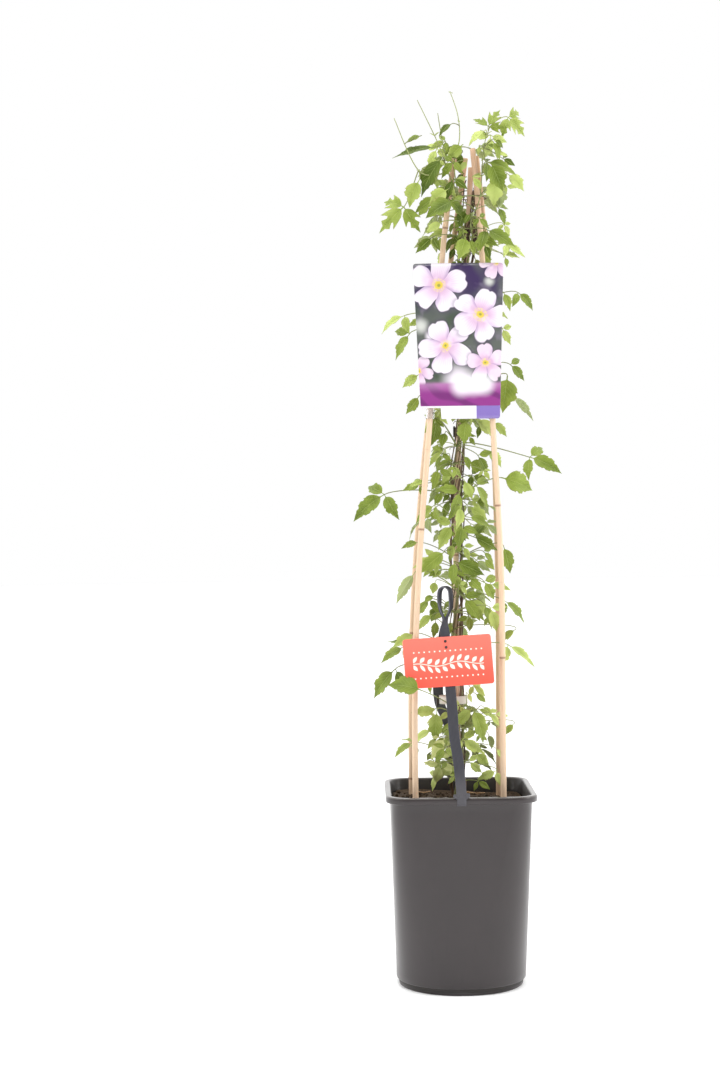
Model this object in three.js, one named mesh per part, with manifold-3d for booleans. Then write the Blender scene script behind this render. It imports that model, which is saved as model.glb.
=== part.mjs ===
// A young climbing clematis in a plastic pot, trained up five bamboo canes.
// Millimetres, +Z up. The origin is the centre of the pot's underside, and -Y is the front.
import * as THREE from 'three';
import { mergeVertices } from 'three/addons/utils/BufferGeometryUtils.js';
import Module from 'manifold-3d';

const wasm = await Module();
wasm.setup();
const { Manifold } = wasm;

// ---------------------------------------------------------------- driving dimensions

const GAP = 0.4; // kept between pieces that touch

const POT_HEIGHT = 268;
const POT_TOP_HALF = 95; // half the body's width just under the lip
const POT_BOTTOM_HALF = 88.5; // radius of the round lower body
const POT_FOOT_HALF = 85.4;
const POT_FOOT_HEIGHT = 10;
const POT_LIP_HALF = 101.5;
const POT_LIP_HEIGHT = 9;
const POT_WALL = 2;
const POT_FLOOR = 2.5;
const POT_TOP_FLAT = 68; // half length of the straight side at the top
const POT_BOTTOM_FLAT = 3;
const POT_CORNER_STEPS = 6;
const DRAIN_HOLES = 6;
const DRAIN_RADIUS = 6;
const DRAIN_CIRCLE = 62;

const SOIL_TOP = 249;
const SOIL_SLOPE = 0.04; // the surface falls to the right
const SOIL_CORNER_STEPS = 3; // every second corner point of the pot, so the soil stays inside it

const CANE_RADIUS = 4.1;
const CANE_TIP_RADIUS = 3.7;
const CANE_JOINT_SWELL = 1.12;
const CANE_JOINT_SPACING = 205;

const STEM_RADIUS = 1.9;
const STEM_TIP_RADIUS = 1.1;
const STEM_ORBIT = 7.6; // from the centre cane's axis to a wound stem's axis
const STEM_TURN_LENGTH = 310; // height in which a stem winds once round the cane
const STEM_ROOT_Z = 225;

const BLADE_THICKNESS = 0.8;
const STALK_WIDTH = 1.6;
const STALK_THICKNESS = 1.3;
const HUB_RADIUS = 1.3;

const STRAP_WIDTH = 14;
const STRAP_THICKNESS = 1.2;

const CARD_WIDTH = 119;
const CARD_HEIGHT = 67;
const CARD_CORNER = 4;
const CARD_TILT = 3.3; // degrees, right end up
const CARD_CENTRE = new THREE.Vector3(-15.5, -69, 447);
const CARD_LEAN = 0.19; // millimetres back for each millimetre up

const LABEL_TOP = 985;
const LABEL_BOTTOM = 773;
const LABEL_STEP = 788; // bottom of the left part, above the clear sleeve
const LABEL_STEP_X = -20;
const LABEL_X_TOP = [-55.6, 67.7];
const LABEL_X_BOTTOM = [-47, 59.6];
const LABEL_LEAN = 0.0665;
const LABEL_BOW = 0.0012;
const LABEL_MIDDLE_X = 6;
const LABEL_FRONT_Y = -39.6;
const PLATE_THICKNESS = 0.8;

const UP = new THREE.Vector3(0, 0, 1);
const FRONT = new THREE.Vector3(0, -1, 0);
const RADIANS = Math.PI / 180;

// The canes, each from its foot in the soil to its tip.
const CANES = {
  cane_centre: [[0, 0, 110], [-1, 0, 519], [4, 0, 715], [13, 0, 880], [21, 0, 1027], [26, -1, 1118]],
  cane_front_left: [[-60, -57, 115], [-61, -56, 377], [-53, -50, 570], [-35, -32, 774],
    [-14.5, -15, 1001], [3, -7, 1129]],
  cane_front_right: [[57, -57, 115], [58, -54, 400], [58, -48, 570], [51, -33, 745],
    [38, -16, 1013], [28, -11.5, 1142]],
  cane_back_left: [[-63, 57, 112], [-63, 55, 380], [-55, 48, 570], [-33, 30, 790],
    [1, 12, 1013], [19, 7, 1132]],
  cane_back_right: [[58, 58, 116], [60, 55, 400], [60, 47, 570], [55, 32, 760],
    [45, 12, 1013], [34, 7, 1135]],
};

// ---------------------------------------------------------------- helpers

const vector = (x, y, z) => new THREE.Vector3(x, y, z);
const mix = (a, b, t) => a + (b - a) * t;

function makeDraw(seed) {
  let state = seed;
  return (low, high) => {
    state = (state * 16807) % 2147483647;
    return low + ((high - low) * state) / 2147483647;
  };
}

// A smooth line through the given points, with the same number of steps between each two.
function smoothLine(rows, steps) {
  const points = rows.map((row) => vector(...row));
  const line = [];
  for (let i = 0; i < points.length - 1; i += 1) {
    const before = points[Math.max(i - 1, 0)];
    const from = points[i];
    const to = points[i + 1];
    const after = points[Math.min(i + 2, points.length - 1)];
    for (let k = 0; k < steps; k += 1) {
      const t = k / steps;
      const point = vector(0, 0, 0);
      point.addScaledVector(before, -0.5 * t + t * t - 0.5 * t * t * t);
      point.addScaledVector(from, 1 - 2.5 * t * t + 1.5 * t * t * t);
      point.addScaledVector(to, 0.5 * t + 2 * t * t - 1.5 * t * t * t);
      point.addScaledVector(after, -0.5 * t * t + 0.5 * t * t * t);
      line.push(point);
    }
  }
  line.push(points[points.length - 1]);
  return line;
}

// The point of a rising line at one height.
function pointAtHeight(line, z) {
  let i = 0;
  while (i < line.length - 2 && line[i + 1].z < z) i += 1;
  const t = (z - line[i].z) / (line[i + 1].z - line[i].z);
  return line[i].clone().lerp(line[i + 1], t);
}

function geometryFrom(points, faces) {
  const positions = [];
  for (const face of faces) {
    for (const index of face) positions.push(points[index].x, points[index].y, points[index].z);
  }
  const geometry = new THREE.BufferGeometry();
  geometry.setAttribute('position', new THREE.Float32BufferAttribute(positions, 3));
  return geometry;
}

function toSolid(geometry) {
  const bare = new THREE.BufferGeometry();
  bare.setAttribute('position', geometry.getAttribute('position').clone());
  if (geometry.index) bare.setIndex(geometry.index.clone());
  const merged = mergeVertices(bare, 1e-4);
  return new Manifold(new wasm.Mesh({
    numProp: 3,
    vertProperties: new Float32Array(merged.getAttribute('position').array),
    triVerts: new Uint32Array(merged.index.array),
  }));
}

function toGeometry(solid) {
  const { vertProperties, triVerts } = solid.getMesh();
  const geometry = new THREE.BufferGeometry();
  geometry.setAttribute('position', new THREE.Float32BufferAttribute(vertProperties, 3));
  geometry.setIndex(new THREE.Uint32BufferAttribute(triVerts, 1));
  return geometry.toNonIndexed();
}

// A closed skin over a row of rings with equally many points. An end is a flat cap, or a cone to
// a single point where one is given. With closed set, the last ring joins the first.
function skinOver(rings, { start, end, closed } = {}) {
  const count = rings[0].length;
  const points = rings.flat();
  const faces = [];
  const last = closed ? rings.length : rings.length - 1;
  for (let r = 0; r < last; r += 1) {
    const low = r * count;
    const high = ((r + 1) % rings.length) * count;
    for (let k = 0; k < count; k += 1) {
      const next = (k + 1) % count;
      faces.push([low + k, low + next, high + next], [low + k, high + next, high + k]);
    }
  }
  if (!closed) {
    const top = (rings.length - 1) * count;
    if (start) {
      points.push(start);
      for (let k = 0; k < count; k += 1) faces.push([points.length - 1, (k + 1) % count, k]);
    } else {
      for (let k = 1; k < count - 1; k += 1) faces.push([0, k + 1, k]);
    }
    if (end) {
      points.push(end);
      for (let k = 0; k < count; k += 1) {
        faces.push([points.length - 1, top + k, top + ((k + 1) % count)]);
      }
    } else {
      for (let k = 1; k < count - 1; k += 1) faces.push([top, top + k, top + k + 1]);
    }
  }
  return geometryFrom(points, faces);
}

// A round rod along a line, with a radius for every point.
function rodAlong(line, radii, sides) {
  const rings = [];
  const first = line[1].clone().sub(line[0]).normalize();
  let across = Math.abs(first.x) < 0.9 ? vector(1, 0, 0) : vector(0, 1, 0);
  line.forEach((point, i) => {
    const ahead = line[Math.min(i + 1, line.length - 1)];
    const behind = line[Math.max(i - 1, 0)];
    const tangent = ahead.clone().sub(behind).normalize();
    across = across.clone().addScaledVector(tangent, -across.dot(tangent)).normalize();
    const other = tangent.clone().cross(across);
    const ring = [];
    for (let k = 0; k < sides; k += 1) {
      const angle = (2 * Math.PI * k) / sides;
      ring.push(point.clone()
        .addScaledVector(across, radii[i] * Math.cos(angle))
        .addScaledVector(other, radii[i] * Math.sin(angle)));
    }
    rings.push(ring);
  });
  return skinOver(rings);
}

// ---------------------------------------------------------------- pot

// Rounded square outline: straight sides of half length flat, with quarter rounds of one radius.
function squareRound(half, flat, z, corners = POT_CORNER_STEPS) {
  const radius = half - flat;
  const ring = [];
  const signs = [[1, 1], [-1, 1], [-1, -1], [1, -1]];
  signs.forEach(([sx, sy], quarter) => {
    for (let k = 0; k <= corners; k += 1) {
      const angle = (quarter + k / corners) * (Math.PI / 2);
      ring.push(vector(sx * flat + radius * Math.cos(angle), sy * flat + radius * Math.sin(angle), z));
    }
  });
  return ring;
}

const potRise = (z) => z / (POT_HEIGHT - POT_LIP_HEIGHT);
const potHalf = (z) => mix(POT_BOTTOM_HALF, POT_TOP_HALF, potRise(z));
const potFlat = (z) => mix(POT_BOTTOM_FLAT, POT_TOP_FLAT, Math.min(potRise(z), 1) ** 0.8);

function makePot() {
  const lipBottom = POT_HEIGHT - POT_LIP_HEIGHT;
  const lipFlat = POT_TOP_FLAT + 2;
  const rings = [squareRound(POT_FOOT_HALF - 1, POT_BOTTOM_FLAT, 0)];
  rings.push(squareRound(POT_FOOT_HALF, POT_BOTTOM_FLAT, 1.2));
  rings.push(squareRound(POT_FOOT_HALF + 0.5, POT_BOTTOM_FLAT, POT_FOOT_HEIGHT - 2));
  for (const z of [POT_FOOT_HEIGHT, 70, 150, lipBottom]) {
    rings.push(squareRound(potHalf(z), potFlat(z), z));
  }
  rings.push(squareRound(POT_LIP_HALF - 0.6, lipFlat, lipBottom));
  rings.push(squareRound(POT_LIP_HALF, lipFlat, lipBottom + 1));
  rings.push(squareRound(POT_LIP_HALF, lipFlat, POT_HEIGHT - 1.5));
  rings.push(squareRound(POT_LIP_HALF - 1.5, lipFlat, POT_HEIGHT));
  rings.push(squareRound(POT_TOP_HALF - 0.5, POT_TOP_FLAT, POT_HEIGHT));
  for (const z of [lipBottom, 150, 70, POT_FLOOR]) {
    rings.push(squareRound(potHalf(z) - POT_WALL - (z === POT_FLOOR ? 3 : 0), potFlat(z), z));
  }
  const shell = skinOver(rings, { start: vector(0, 0, 0), end: vector(0, 0, POT_FLOOR) });
  let solid = toSolid(shell);
  for (let k = 0; k < DRAIN_HOLES; k += 1) {
    const angle = (2 * Math.PI * (k + 0.5)) / DRAIN_HOLES;
    const hole = new THREE.CylinderGeometry(DRAIN_RADIUS, DRAIN_RADIUS, 4 * POT_FLOOR, 8);
    hole.rotateX(Math.PI / 2);
    hole.translate(DRAIN_CIRCLE * Math.cos(angle), DRAIN_CIRCLE * Math.sin(angle), 0);
    solid = solid.subtract(toSolid(hole));
  }
  return toGeometry(solid);
}

// ---------------------------------------------------------------- canes and wound stems

const caneLines = {};
for (const [name, rows] of Object.entries(CANES)) caneLines[name] = smoothLine(rows, 8);
const centreCane = caneLines.cane_centre;

// Heights of the swollen joints, a little different on each cane.
function caneStations(line, order) {
  const foot = line[0].z;
  const tip = line[line.length - 1].z;
  const stations = [[foot, 1], [tip, 1]];
  for (let z = foot + 70 + 31 * order; z < tip - 25; z += CANE_JOINT_SPACING) {
    stations.push([z - 7, 1], [z, CANE_JOINT_SWELL], [z + 5, 1]);
  }
  return stations.sort((a, b) => a[0] - b[0]);
}

function makeCane(name, order) {
  const line = caneLines[name];
  const tip = line[line.length - 1].z;
  const points = [];
  const radii = [];
  for (const [z, swell] of caneStations(line, order)) {
    points.push(pointAtHeight(line, z));
    radii.push(mix(CANE_RADIUS, CANE_TIP_RADIUS, z / tip) * swell);
  }
  return rodAlong(points, radii, 8);
}

// Each vine rises from the soil, wound round the centre cane, up to its own height.
// Branches leave the wound part and go through the points given.
const VINES = {
  clematis_lower: { start: 200, top: 424, seed: 11, branches: [] },
  clematis_middle: { start: 290, top: 712, seed: 23, branches: [] },
  clematis_upper: { start: 20, top: 965, seed: 37, branches: [] },
  clematis_top: {
    start: 110,
    top: 1000,
    seed: 53,
    branches: [
      [[26, -12, 1020], [24, -24, 1042], [36, -29, 1072], [42, -27, 1138], [49, -22, 1164]],
      [[11, -13, 1040], [8, -14, 1077], [2, -19, 1120], [10, -17, 1155], [8, -14, 1188], [-2, -12, 1220]],
      [[8, -14, 1077], [-6, -22, 1108], [-18, -24, 1144], [-47, -20, 1207]],
      [[-6, -22, 1108], [-46, -32, 1109], [-79, -30, 1181]],
      [[2, -19, 1120], [-10, -14, 1137], [-19, -10, 1191]],
    ],
  },
};

function woundLine(start, top) {
  const line = [];
  const stepCount = Math.ceil((top - STEM_ROOT_Z) / 26);
  for (let k = 0; k <= stepCount; k += 1) {
    const z = mix(STEM_ROOT_Z, top, k / stepCount);
    const angle = start * RADIANS + ((z - STEM_ROOT_Z) / STEM_TURN_LENGTH) * 2 * Math.PI;
    const axis = pointAtHeight(centreCane, z);
    const orbit = STEM_ORBIT * (z < SOIL_TOP + 30 ? 1.25 : 1);
    line.push(vector(axis.x + orbit * Math.cos(angle), axis.y + orbit * Math.sin(angle), z));
  }
  return line;
}

const stemRadius = (z) => mix(STEM_RADIUS, STEM_TIP_RADIUS, Math.max(0, (z - 400) / 600));

for (const vine of Object.values(VINES)) {
  vine.main = woundLine(vine.start, vine.top);
  const tip = vine.main[vine.main.length - 1];
  vine.lines = [vine.main];
  vine.branches.forEach((rows, i) => {
    const from = i < 2 ? [[tip.x, tip.y, tip.z]] : [];
    vine.lines.push(smoothLine([...from, ...rows], 2));
  });
}

// ---------------------------------------------------------------- strap, card and label planes

const cardY = (z) => CARD_CENTRE.y + CARD_LEAN * (z - CARD_CENTRE.z);
const labelY = (x, z) => LABEL_FRONT_Y + LABEL_LEAN * (z - LABEL_BOTTOM)
  + LABEL_BOW * (x - LABEL_MIDDLE_X) ** 2;
const strapY = (z) => cardY(z) + PLATE_THICKNESS / 2 + GAP + STRAP_THICKNESS / 2;

const lipFace = POT_LIP_HALF + GAP + STRAP_THICKNESS / 2;
const underLip = POT_HEIGHT - POT_LIP_HEIGHT - GAP - STRAP_THICKNESS / 2;

// Each row: centre of the band, width, and how far the width is turned from sideways to front-back.
const STRAP_ROUTE = [
  [-1.3, -96.6, underLip, 12, 0],
  [-1.3, -lipFace, underLip, 12, 0],
  [-1.3, -lipFace, POT_HEIGHT - 2, 12, 0],
  [-1.3, -lipFace, POT_HEIGHT + 1, 22, 0],
  [-1.4, -lipFace + 0.6, POT_HEIGHT + 5, 22, 0],
  [-1.5, -lipFace + 1, POT_HEIGHT + 6, 13.3, 0],
  [-4.9, -93, 316, STRAP_WIDTH, 0],
  [-9.5, -86.3, 349, STRAP_WIDTH, 0],
  [-12.6, strapY(400), 400, STRAP_WIDTH, 0],
  [-19, strapY(482), 482, 12.7, 0],
  [-20.2, -57.5, 495, 10, 35],
  [-20.6, -53.5, 504, 9, 75],
  [-25.2, -51, 516, 9, 72],
  [-26.4, -50, 530, 10, 66],
  [-24.8, -49.5, 542, 10, 66],
  [-18, -49.3, 546, 10, 66],
  [-11.2, -49.5, 542, 10, 66],
  [-9.8, -50, 530, 10, 66],
  [-11, -50, 516, 9, 72],
  [-15.8, -48, 505, 9, 75],
  [-18, -43, 497, 10, 40],
  [-20, -38, 484, 12.7, 0],
  [-21, -33, 466, STRAP_WIDTH, 0],
  [-24, -22, 440, STRAP_WIDTH, 0],
  [-27, 0, 412, STRAP_WIDTH, 0],
  [-24, 36, 382, STRAP_WIDTH, 0],
  [-14, 70, 356, STRAP_WIDTH, 0],
  [-7.5, 87, 336, STRAP_WIDTH, 0],
  [-5, 93, 308, STRAP_WIDTH, 0],
  [-1.5, lipFace - 1, POT_HEIGHT + 6, 13.3, 0],
  [-1.4, lipFace - 0.6, POT_HEIGHT + 5, 22, 0],
  [-1.3, lipFace, POT_HEIGHT + 1, 22, 0],
  [-1.3, lipFace, POT_HEIGHT - 2, 12, 0],
  [-1.3, lipFace, underLip, 12, 0],
  [-1.3, 96.6, underLip, 12, 0],
];

// Rings round the stems or canes: centre, half width, half depth, band height, band thickness.
const STEM_BAND = { centre: vector(-6, 0, 389), across: 19.5, deep: 15, height: 11, thick: 1 };

// The clip and the tie lie tight round what they hold: each row is a centre and a radius.
const STEM_CLIP = { centre: vector(8, -2, 757), height: 12, thick: 1.4 };
STEM_CLIP.holds = [centreCane, VINES.clematis_upper.main, VINES.clematis_top.main].map((line, i) => {
  const { x, y } = pointAtHeight(line, STEM_CLIP.centre.z);
  const radius = i === 0 ? CANE_RADIUS * CANE_JOINT_SWELL : STEM_RADIUS + 1;
  return [x, y, radius + GAP + STEM_CLIP.thick / 2];
});
const TOP_TIE = { centre: vector(18.5, -0.5, 1077), height: 2.6, thick: 2.6 };
TOP_TIE.holds = Object.values(caneLines).map((line) => {
  const { x, y } = pointAtHeight(line, TOP_TIE.centre.z);
  return [x, y, CANE_TIP_RADIUS * CANE_JOINT_SWELL + 4 * GAP + TOP_TIE.thick / 2];
});
TOP_TIE.holds.push([8, -14, STEM_TIP_RADIUS + GAP + TOP_TIE.thick / 2]);

// A ring's middle line, made larger by grow. Round what it holds, each of its points is the
// furthest one that way.
function ringLine({ centre, across, deep, holds }, count, grow = 0) {
  const line = [];
  for (let k = 0; k < count; k += 1) {
    const angle = (2 * Math.PI * k) / count;
    const [c, s] = [Math.cos(angle), Math.sin(angle)];
    if (holds) {
      const reaches = holds.map(([x, y, radius]) => x * c + y * s + radius);
      const [x, y, radius] = holds[reaches.indexOf(Math.max(...reaches))];
      line.push(vector(x + (radius + grow) * c, y + (radius + grow) * s, centre.z));
    } else {
      line.push(vector(centre.x + (across + grow) * c, centre.y + (deep + grow) * s, centre.z));
    }
  }
  return line;
}

function makeRing(ring, count) {
  const outside = ringLine(ring, count, ring.thick / 2);
  const inside = ringLine(ring, count, -ring.thick / 2);
  const rings = outside.map((point, k) => [
    point.clone().addScaledVector(UP, -ring.height / 2),
    inside[k].clone().addScaledVector(UP, -ring.height / 2),
    inside[k].clone().addScaledVector(UP, ring.height / 2),
    point.clone().addScaledVector(UP, ring.height / 2),
  ]);
  return skinOver(rings, { closed: true });
}

// ---------------------------------------------------------------- leaves

// Leaflets of each kind of leaf, from right to left: turn from the way the leaf points, in degrees,
// and share of the leaf's length. The width is a share of each leaflet's own length.
const KINDS = {
  one: { leaflets: [[0, 1]], width: 0.46 },
  narrow: { leaflets: [[0, 1]], width: 0.3 },
  broad: { leaflets: [[0, 1]], width: 0.66 },
  pair: { leaflets: [[0, 1], [76, 0.74]], width: 0.44 },
  twin: { leaflets: [[-76, 0.74], [0, 1]], width: 0.44 },
  three: { leaflets: [[-78, 0.71], [0, 1], [77, 0.74]], width: 0.44 },
  lobed: { leaflets: [[-74, 0.84], [0, 1], [74, 0.86]], width: 0.48 },
};

// Leaves placed by hand. Each row gives the fork, where the leaflets meet (x, y, z), the way the
// end leaflet points seen from the front (0 right, 90 up, 180 left), its length, the kind, and how
// far the upper face is turned from the sky (0) to the front (90). Below 0 it faces the back.
const LEAVES = {
  clematis_lower: [
    [-30, -30, 378, 262, 50, 'twin', 62],
    [-36, -16, 350, 204, 40, 'one', 45],
    [-20, -34, 340, 232, 36, 'one', 55],
    [-27, -28, 304, 262, 34, 'three', 60],
    [18, -30, 380, 300, 54, 'twin', 62],
    [42, -20, 372, 312, 24, 'pair', 40],
    [76, -12, 356, 221, 22, 'one', 50],
    [14, -34, 338, 328, 36, 'three', 55],
    [12, -42, 308, 322, 26, 'pair', 60],
    [50, -30, 294, 204, 30, 'pair', 66],
    [-62, 10, 330, 196, 34, 'three', 35],
    [10, 30, 372, 300, 40, 'twin', -35],
    [-22, 36, 342, 220, 42, 'three', -30],
    [30, 34, 318, 330, 36, 'three', -25],
    [-52, -86, 410, 158, 48, 'broad', 66],
  ],
  clematis_middle: [
    [-86, -24, 434, 226, 56, 'pair', 50],
    [-76, -10, 464, 202, 40, 'three', 48],
    [-62, -18, 482, 200, 38, 'one', 42],
    [-38, -14, 528, 225, 34, 'pair', 60],
    [82, 8, 486, 214, 26, 'one', 55],
    [8, -30, 530, 306, 40, 'pair', 62],
    [35, -18, 520, 292, 36, 'one', 55],
    [66, 6, 524, 328, 42, 'twin', 38],
    [36, -26, 552, 302, 34, 'pair', 60],
    [-57, -20, 566, 230, 54, 'narrow', -40],
    [20, -32, 558, 318, 28, 'pair', 55],
    [-16, -26, 594, 218, 48, 'one', 58],
    [6, -34, 580, 338, 46, 'twin', 62],
    [64, -14, 600, 284, 42, 'one', 52],
    [38, 12, 592, 314, 24, 'pair', 45],
    [-6, -30, 630, 234, 42, 'three', 60],
    [22, -24, 620, 317, 38, 'pair', 56],
    [16, -30, 653, 334, 36, 'one', 50],
    [26, -20, 684, 308, 40, 'three', 55],
    [-98, -18, 672, 209, 58, 'three', 46],
    [-48, -14, 685, 190, 28, 'three', 50],
    [62, -20, 693, 347, 50, 'broad', 50],
    [26, 40, 448, 318, 42, 'three', -30],
    [34, 34, 630, 340, 40, 'pair', -30],
    [-34, 32, 640, 205, 42, 'three', -35],
    [4, 44, 560, 262, 40, 'three', -45],
    [-34, -26, 508, 215, 32, 'one', 60],
    [-30, -26, 500, 262, 26, 'one', 60],
    [22, -35, 606, 338, 40, 'pair', 62],
    [20, -36, 640, 350, 36, 'one', 58],
    [44, -32, 516, 290, 38, 'pair', 50],
  ],
  clematis_upper: [
    [-26, -22, 774, 264, 44, 'one', 60],
    [2, -24, 769, 300, 34, 'pair', 66],
    [28, -22, 773, 325, 38, 'broad', 55],
    [-19, -24, 730, 220, 28, 'twin', 52],
    [10, -28, 724, 306, 24, 'one', 60],
    [30, -18, 724, 300, 32, 'pair', 58],
    [106, -10, 720, 344, 50, 'three', 44],
    [-66, -14, 917, 200, 42, 'pair', 46],
    [-56, -26, 892, 236, 42, 'twin', 56],
    [-50, -4, 806, 236, 32, 'one', 52],
    [68, -12, 946, 297, 28, 'one', 52],
    [89, 2, 947, 324, 34, 'twin', 36],
    [66, -8, 897, 300, 26, 'pair', 50],
    [72, -14, 832, 264, 52, 'broad', 64],
    [80, 6, 806, 320, 46, 'narrow', -30],
    [34, 34, 850, 326, 42, 'twin', -35],
    [-4, 34, 905, 250, 40, 'three', -40],
    [44, 28, 935, 340, 36, 'pair', -30],
    [68, -16, 464, 330, 48, 'twin', 45],
    [-24, -28, 706, 248, 30, 'pair', 58],
    [-42, -24, 690, 188, 24, 'pair', 46],
    [14, -32, 772, 262, 34, 'broad', 62],
    [46, -24, 770, 318, 30, 'one', 55],
    [10, -38, 690, 290, 30, 'one', 62],
  ],
  clematis_top: [
    [49, -22, 1170, 62, 32, 'lobed', 60],
    [74, -20, 1185, 318, 38, 'lobed', 62],
    [42, -30, 1158, 262, 38, 'three', 62],
    [46, -24, 1122, 350, 46, 'twin', 46],
    [62, -12, 1098, 276, 46, 'one', -50],
    [59, -20, 1062, 300, 28, 'pair', 50],
    [44, -28, 1030, 332, 48, 'twin', 46],
    [46, -30, 1008, 296, 22, 'one', 55],
    [16, -34, 1020, 254, 34, 'broad', 64],
    [-22, -26, 1142, 184, 62, 'narrow', 34],
    [-14, -30, 1128, 230, 62, 'one', 56],
    [-42, -26, 1158, 196, 24, 'one', 48],
    [0, -24, 1174, 206, 26, 'one', 58],
    [14, -26, 1145, 220, 28, 'broad', 60],
    [-67, -24, 1062, 222, 50, 'lobed', 58],
    [-22, -30, 1074, 206, 38, 'pair', 56],
    [-8, -34, 1072, 322, 38, 'one', 58],
    [-16, -32, 1040, 208, 28, 'one', 52],
    [-29, -28, 1020, 218, 32, 'pair', 56],
    [2, 26, 1096, 214, 42, 'three', -30],
    [44, 24, 1080, 330, 42, 'three', -32],
    [14, 34, 1040, 262, 38, 'three', -45],
    [-12, -26, 668, 238, 48, 'twin', 62],
    [14, 40, 492, 300, 44, 'three', -35],
    [-52, -16, 606, 186, 26, 'one', 36],
    [-48, -8, 836, 214, 32, 'one', 46],
    [-14, 34, 800, 226, 42, 'three', -30],
    [-8, -42, 664, 214, 42, 'pair', 62],
    [6, -46, 628, 256, 34, 'pair', 64],
    [-30, -34, 648, 250, 34, 'one', 60],
    [0, -48, 1066, 200, 46, 'broad', 58],
    [50, -50, 1116, 292, 42, 'broad', 58],
    [44, -38, 1162, 206, 32, 'one', 58],
    [54, -34, 1148, 300, 28, 'one', 55],
    [-46, -38, 1096, 238, 40, 'broad', 56],
    [60, -28, 1100, 262, 40, 'broad', 50],
  ],
};

// Outline of half a blade from stalk to tip: share of its length, share of its half width.
const STALK_END = [0.13, 0.07];
const SMALL_OUTLINE = [STALK_END, [0.42, 1]];
const SMOOTH_OUTLINE = [STALK_END, [0.36, 0.98], [0.66, 0.72]];
const TOOTHED_OUTLINE = [STALK_END, [0.34, 0.96], [0.64, 0.88], [0.67, 0.56]];
const SMOOTH_FROM = 24; // shorter leaflets have two corners
const TOOTHED_FROM = 36; // shorter leaflets have no tooth
const RIB_MIDDLE = 0.5;
const FOLD = 0.22; // rise of the margin for each millimetre from the rib

function outlineOf(length) {
  if (length < SMOOTH_FROM) return SMALL_OUTLINE;
  return length < TOOTHED_FROM ? SMOOTH_OUTLINE : TOOTHED_OUTLINE;
}

// A place on a blade: t along its rib, w across in millimetres. The rib bends down by droop.
function onBlade(blade, t, w, lift = 0) {
  const bend = blade.droop * t;
  const reach = (blade.length * Math.sin(bend)) / blade.droop;
  const sink = (blade.length * (1 - Math.cos(bend))) / blade.droop;
  const rise = FOLD * Math.abs(w) + lift;
  return blade.base.clone()
    .addScaledVector(blade.along, reach + rise * Math.sin(bend))
    .addScaledVector(blade.face, rise * Math.cos(bend) - sink)
    .addScaledVector(blade.side, w);
}

// A leaf is one thin closed skin: a flat stalk, a small hub at the fork, and a blade for each
// leaflet with a fan of triangles from the middle of its rib. Both faces are split alike.
function leafGeometry(leaf) {
  const tops = [];
  const bottoms = [];
  const addPair = (top, bottom) => {
    tops.push(top);
    bottoms.push(bottom);
    return tops.length - 1;
  };
  const addPlace = (blade, t, w) => addPair(
    onBlade(blade, t, w, BLADE_THICKNESS / 2),
    onBlade(blade, t, w, -BLADE_THICKNESS / 2),
  );
  const skin = [];
  const { right, left } = stalkEdges(leaf, addPair);
  const middle = Math.floor(leaf.blades.length / 2);
  const hub = [right[right.length - 1]];
  for (let k = 1; k < leaf.blades.length; k += 1) {
    const between = leaf.blades[k - 1].along.clone().add(leaf.blades[k].along).normalize();
    const valley = leaf.fork.clone().addScaledVector(between, HUB_RADIUS);
    const { face } = leaf.blades[middle];
    hub.push(addPair(
      valley.clone().addScaledVector(face, BLADE_THICKNESS / 2),
      valley.clone().addScaledVector(face, -BLADE_THICKNESS / 2),
    ));
  }
  hub.push(left[left.length - 1]);
  for (let k = 2; k < hub.length; k += 1) skin.push([hub[0], hub[k - 1], hub[k]]);
  for (let k = 1; k < right.length; k += 1) {
    skin.push([right[k - 1], right[k], left[k]], [right[k - 1], left[k], left[k - 1]]);
  }
  const rim = [...right];
  leaf.blades.forEach((blade, k) => {
    const outline = outlineOf(blade.length);
    const half = blade.width / 2;
    const edge = outline.map(([t, share]) => addPlace(blade, t, -share * half));
    edge.push(addPlace(blade, 1, 0));
    for (const [t, share] of [...outline].reverse()) edge.push(addPlace(blade, t, share * half));
    const heart = addPlace(blade, RIB_MIDDLE, 0);
    edge.forEach((place, i) => skin.push([heart, place, edge[(i + 1) % edge.length]]));
    skin.push([hub[k], edge[0], edge[edge.length - 1]], [hub[k], edge[edge.length - 1], hub[k + 1]]);
    rim.push(...edge);
    if (k < leaf.blades.length - 1) rim.push(hub[k + 1]);
  });
  rim.push(...[...left].reverse());
  const count = tops.length;
  const faces = [];
  for (const [a, b, c] of skin) faces.push([a, b, c], [a + count, c + count, b + count]);
  rim.forEach((place, i) => {
    const next = rim[(i + 1) % rim.length];
    faces.push([place, place + count, next + count], [place, next + count, next]);
  });
  return geometryFrom([...tops, ...bottoms], faces);
}

// The two edges of the flat stalk, from its root to the fork, turned as little as its bends allow.
function stalkEdges(leaf, addPair) {
  const line = leaf.stalk;
  const right = [];
  const left = [];
  let { side } = leaf.blades[Math.floor(leaf.blades.length / 2)];
  for (let i = line.length - 1; i >= 0; i -= 1) {
    const ahead = line[Math.min(i + 1, line.length - 1)];
    const behind = line[Math.max(i - 1, 0)];
    const tangent = ahead.clone().sub(behind).normalize();
    side = side.clone().addScaledVector(tangent, -side.dot(tangent)).normalize();
    const face = tangent.clone().cross(side);
    const thick = i === line.length - 1 ? BLADE_THICKNESS / 2 : STALK_THICKNESS / 2;
    for (const [edge, sign] of [[right, -1], [left, 1]]) {
      const middle = line[i].clone().addScaledVector(side, (sign * STALK_WIDTH) / 2);
      edge.unshift(addPair(
        middle.clone().addScaledVector(face, thick),
        middle.clone().addScaledVector(face, -thick),
      ));
    }
  }
  return { right, left };
}

function turned(point, axis, angle) {
  return point.clone().sub(axis).applyAxisAngle(UP, angle).add(axis);
}

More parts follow.
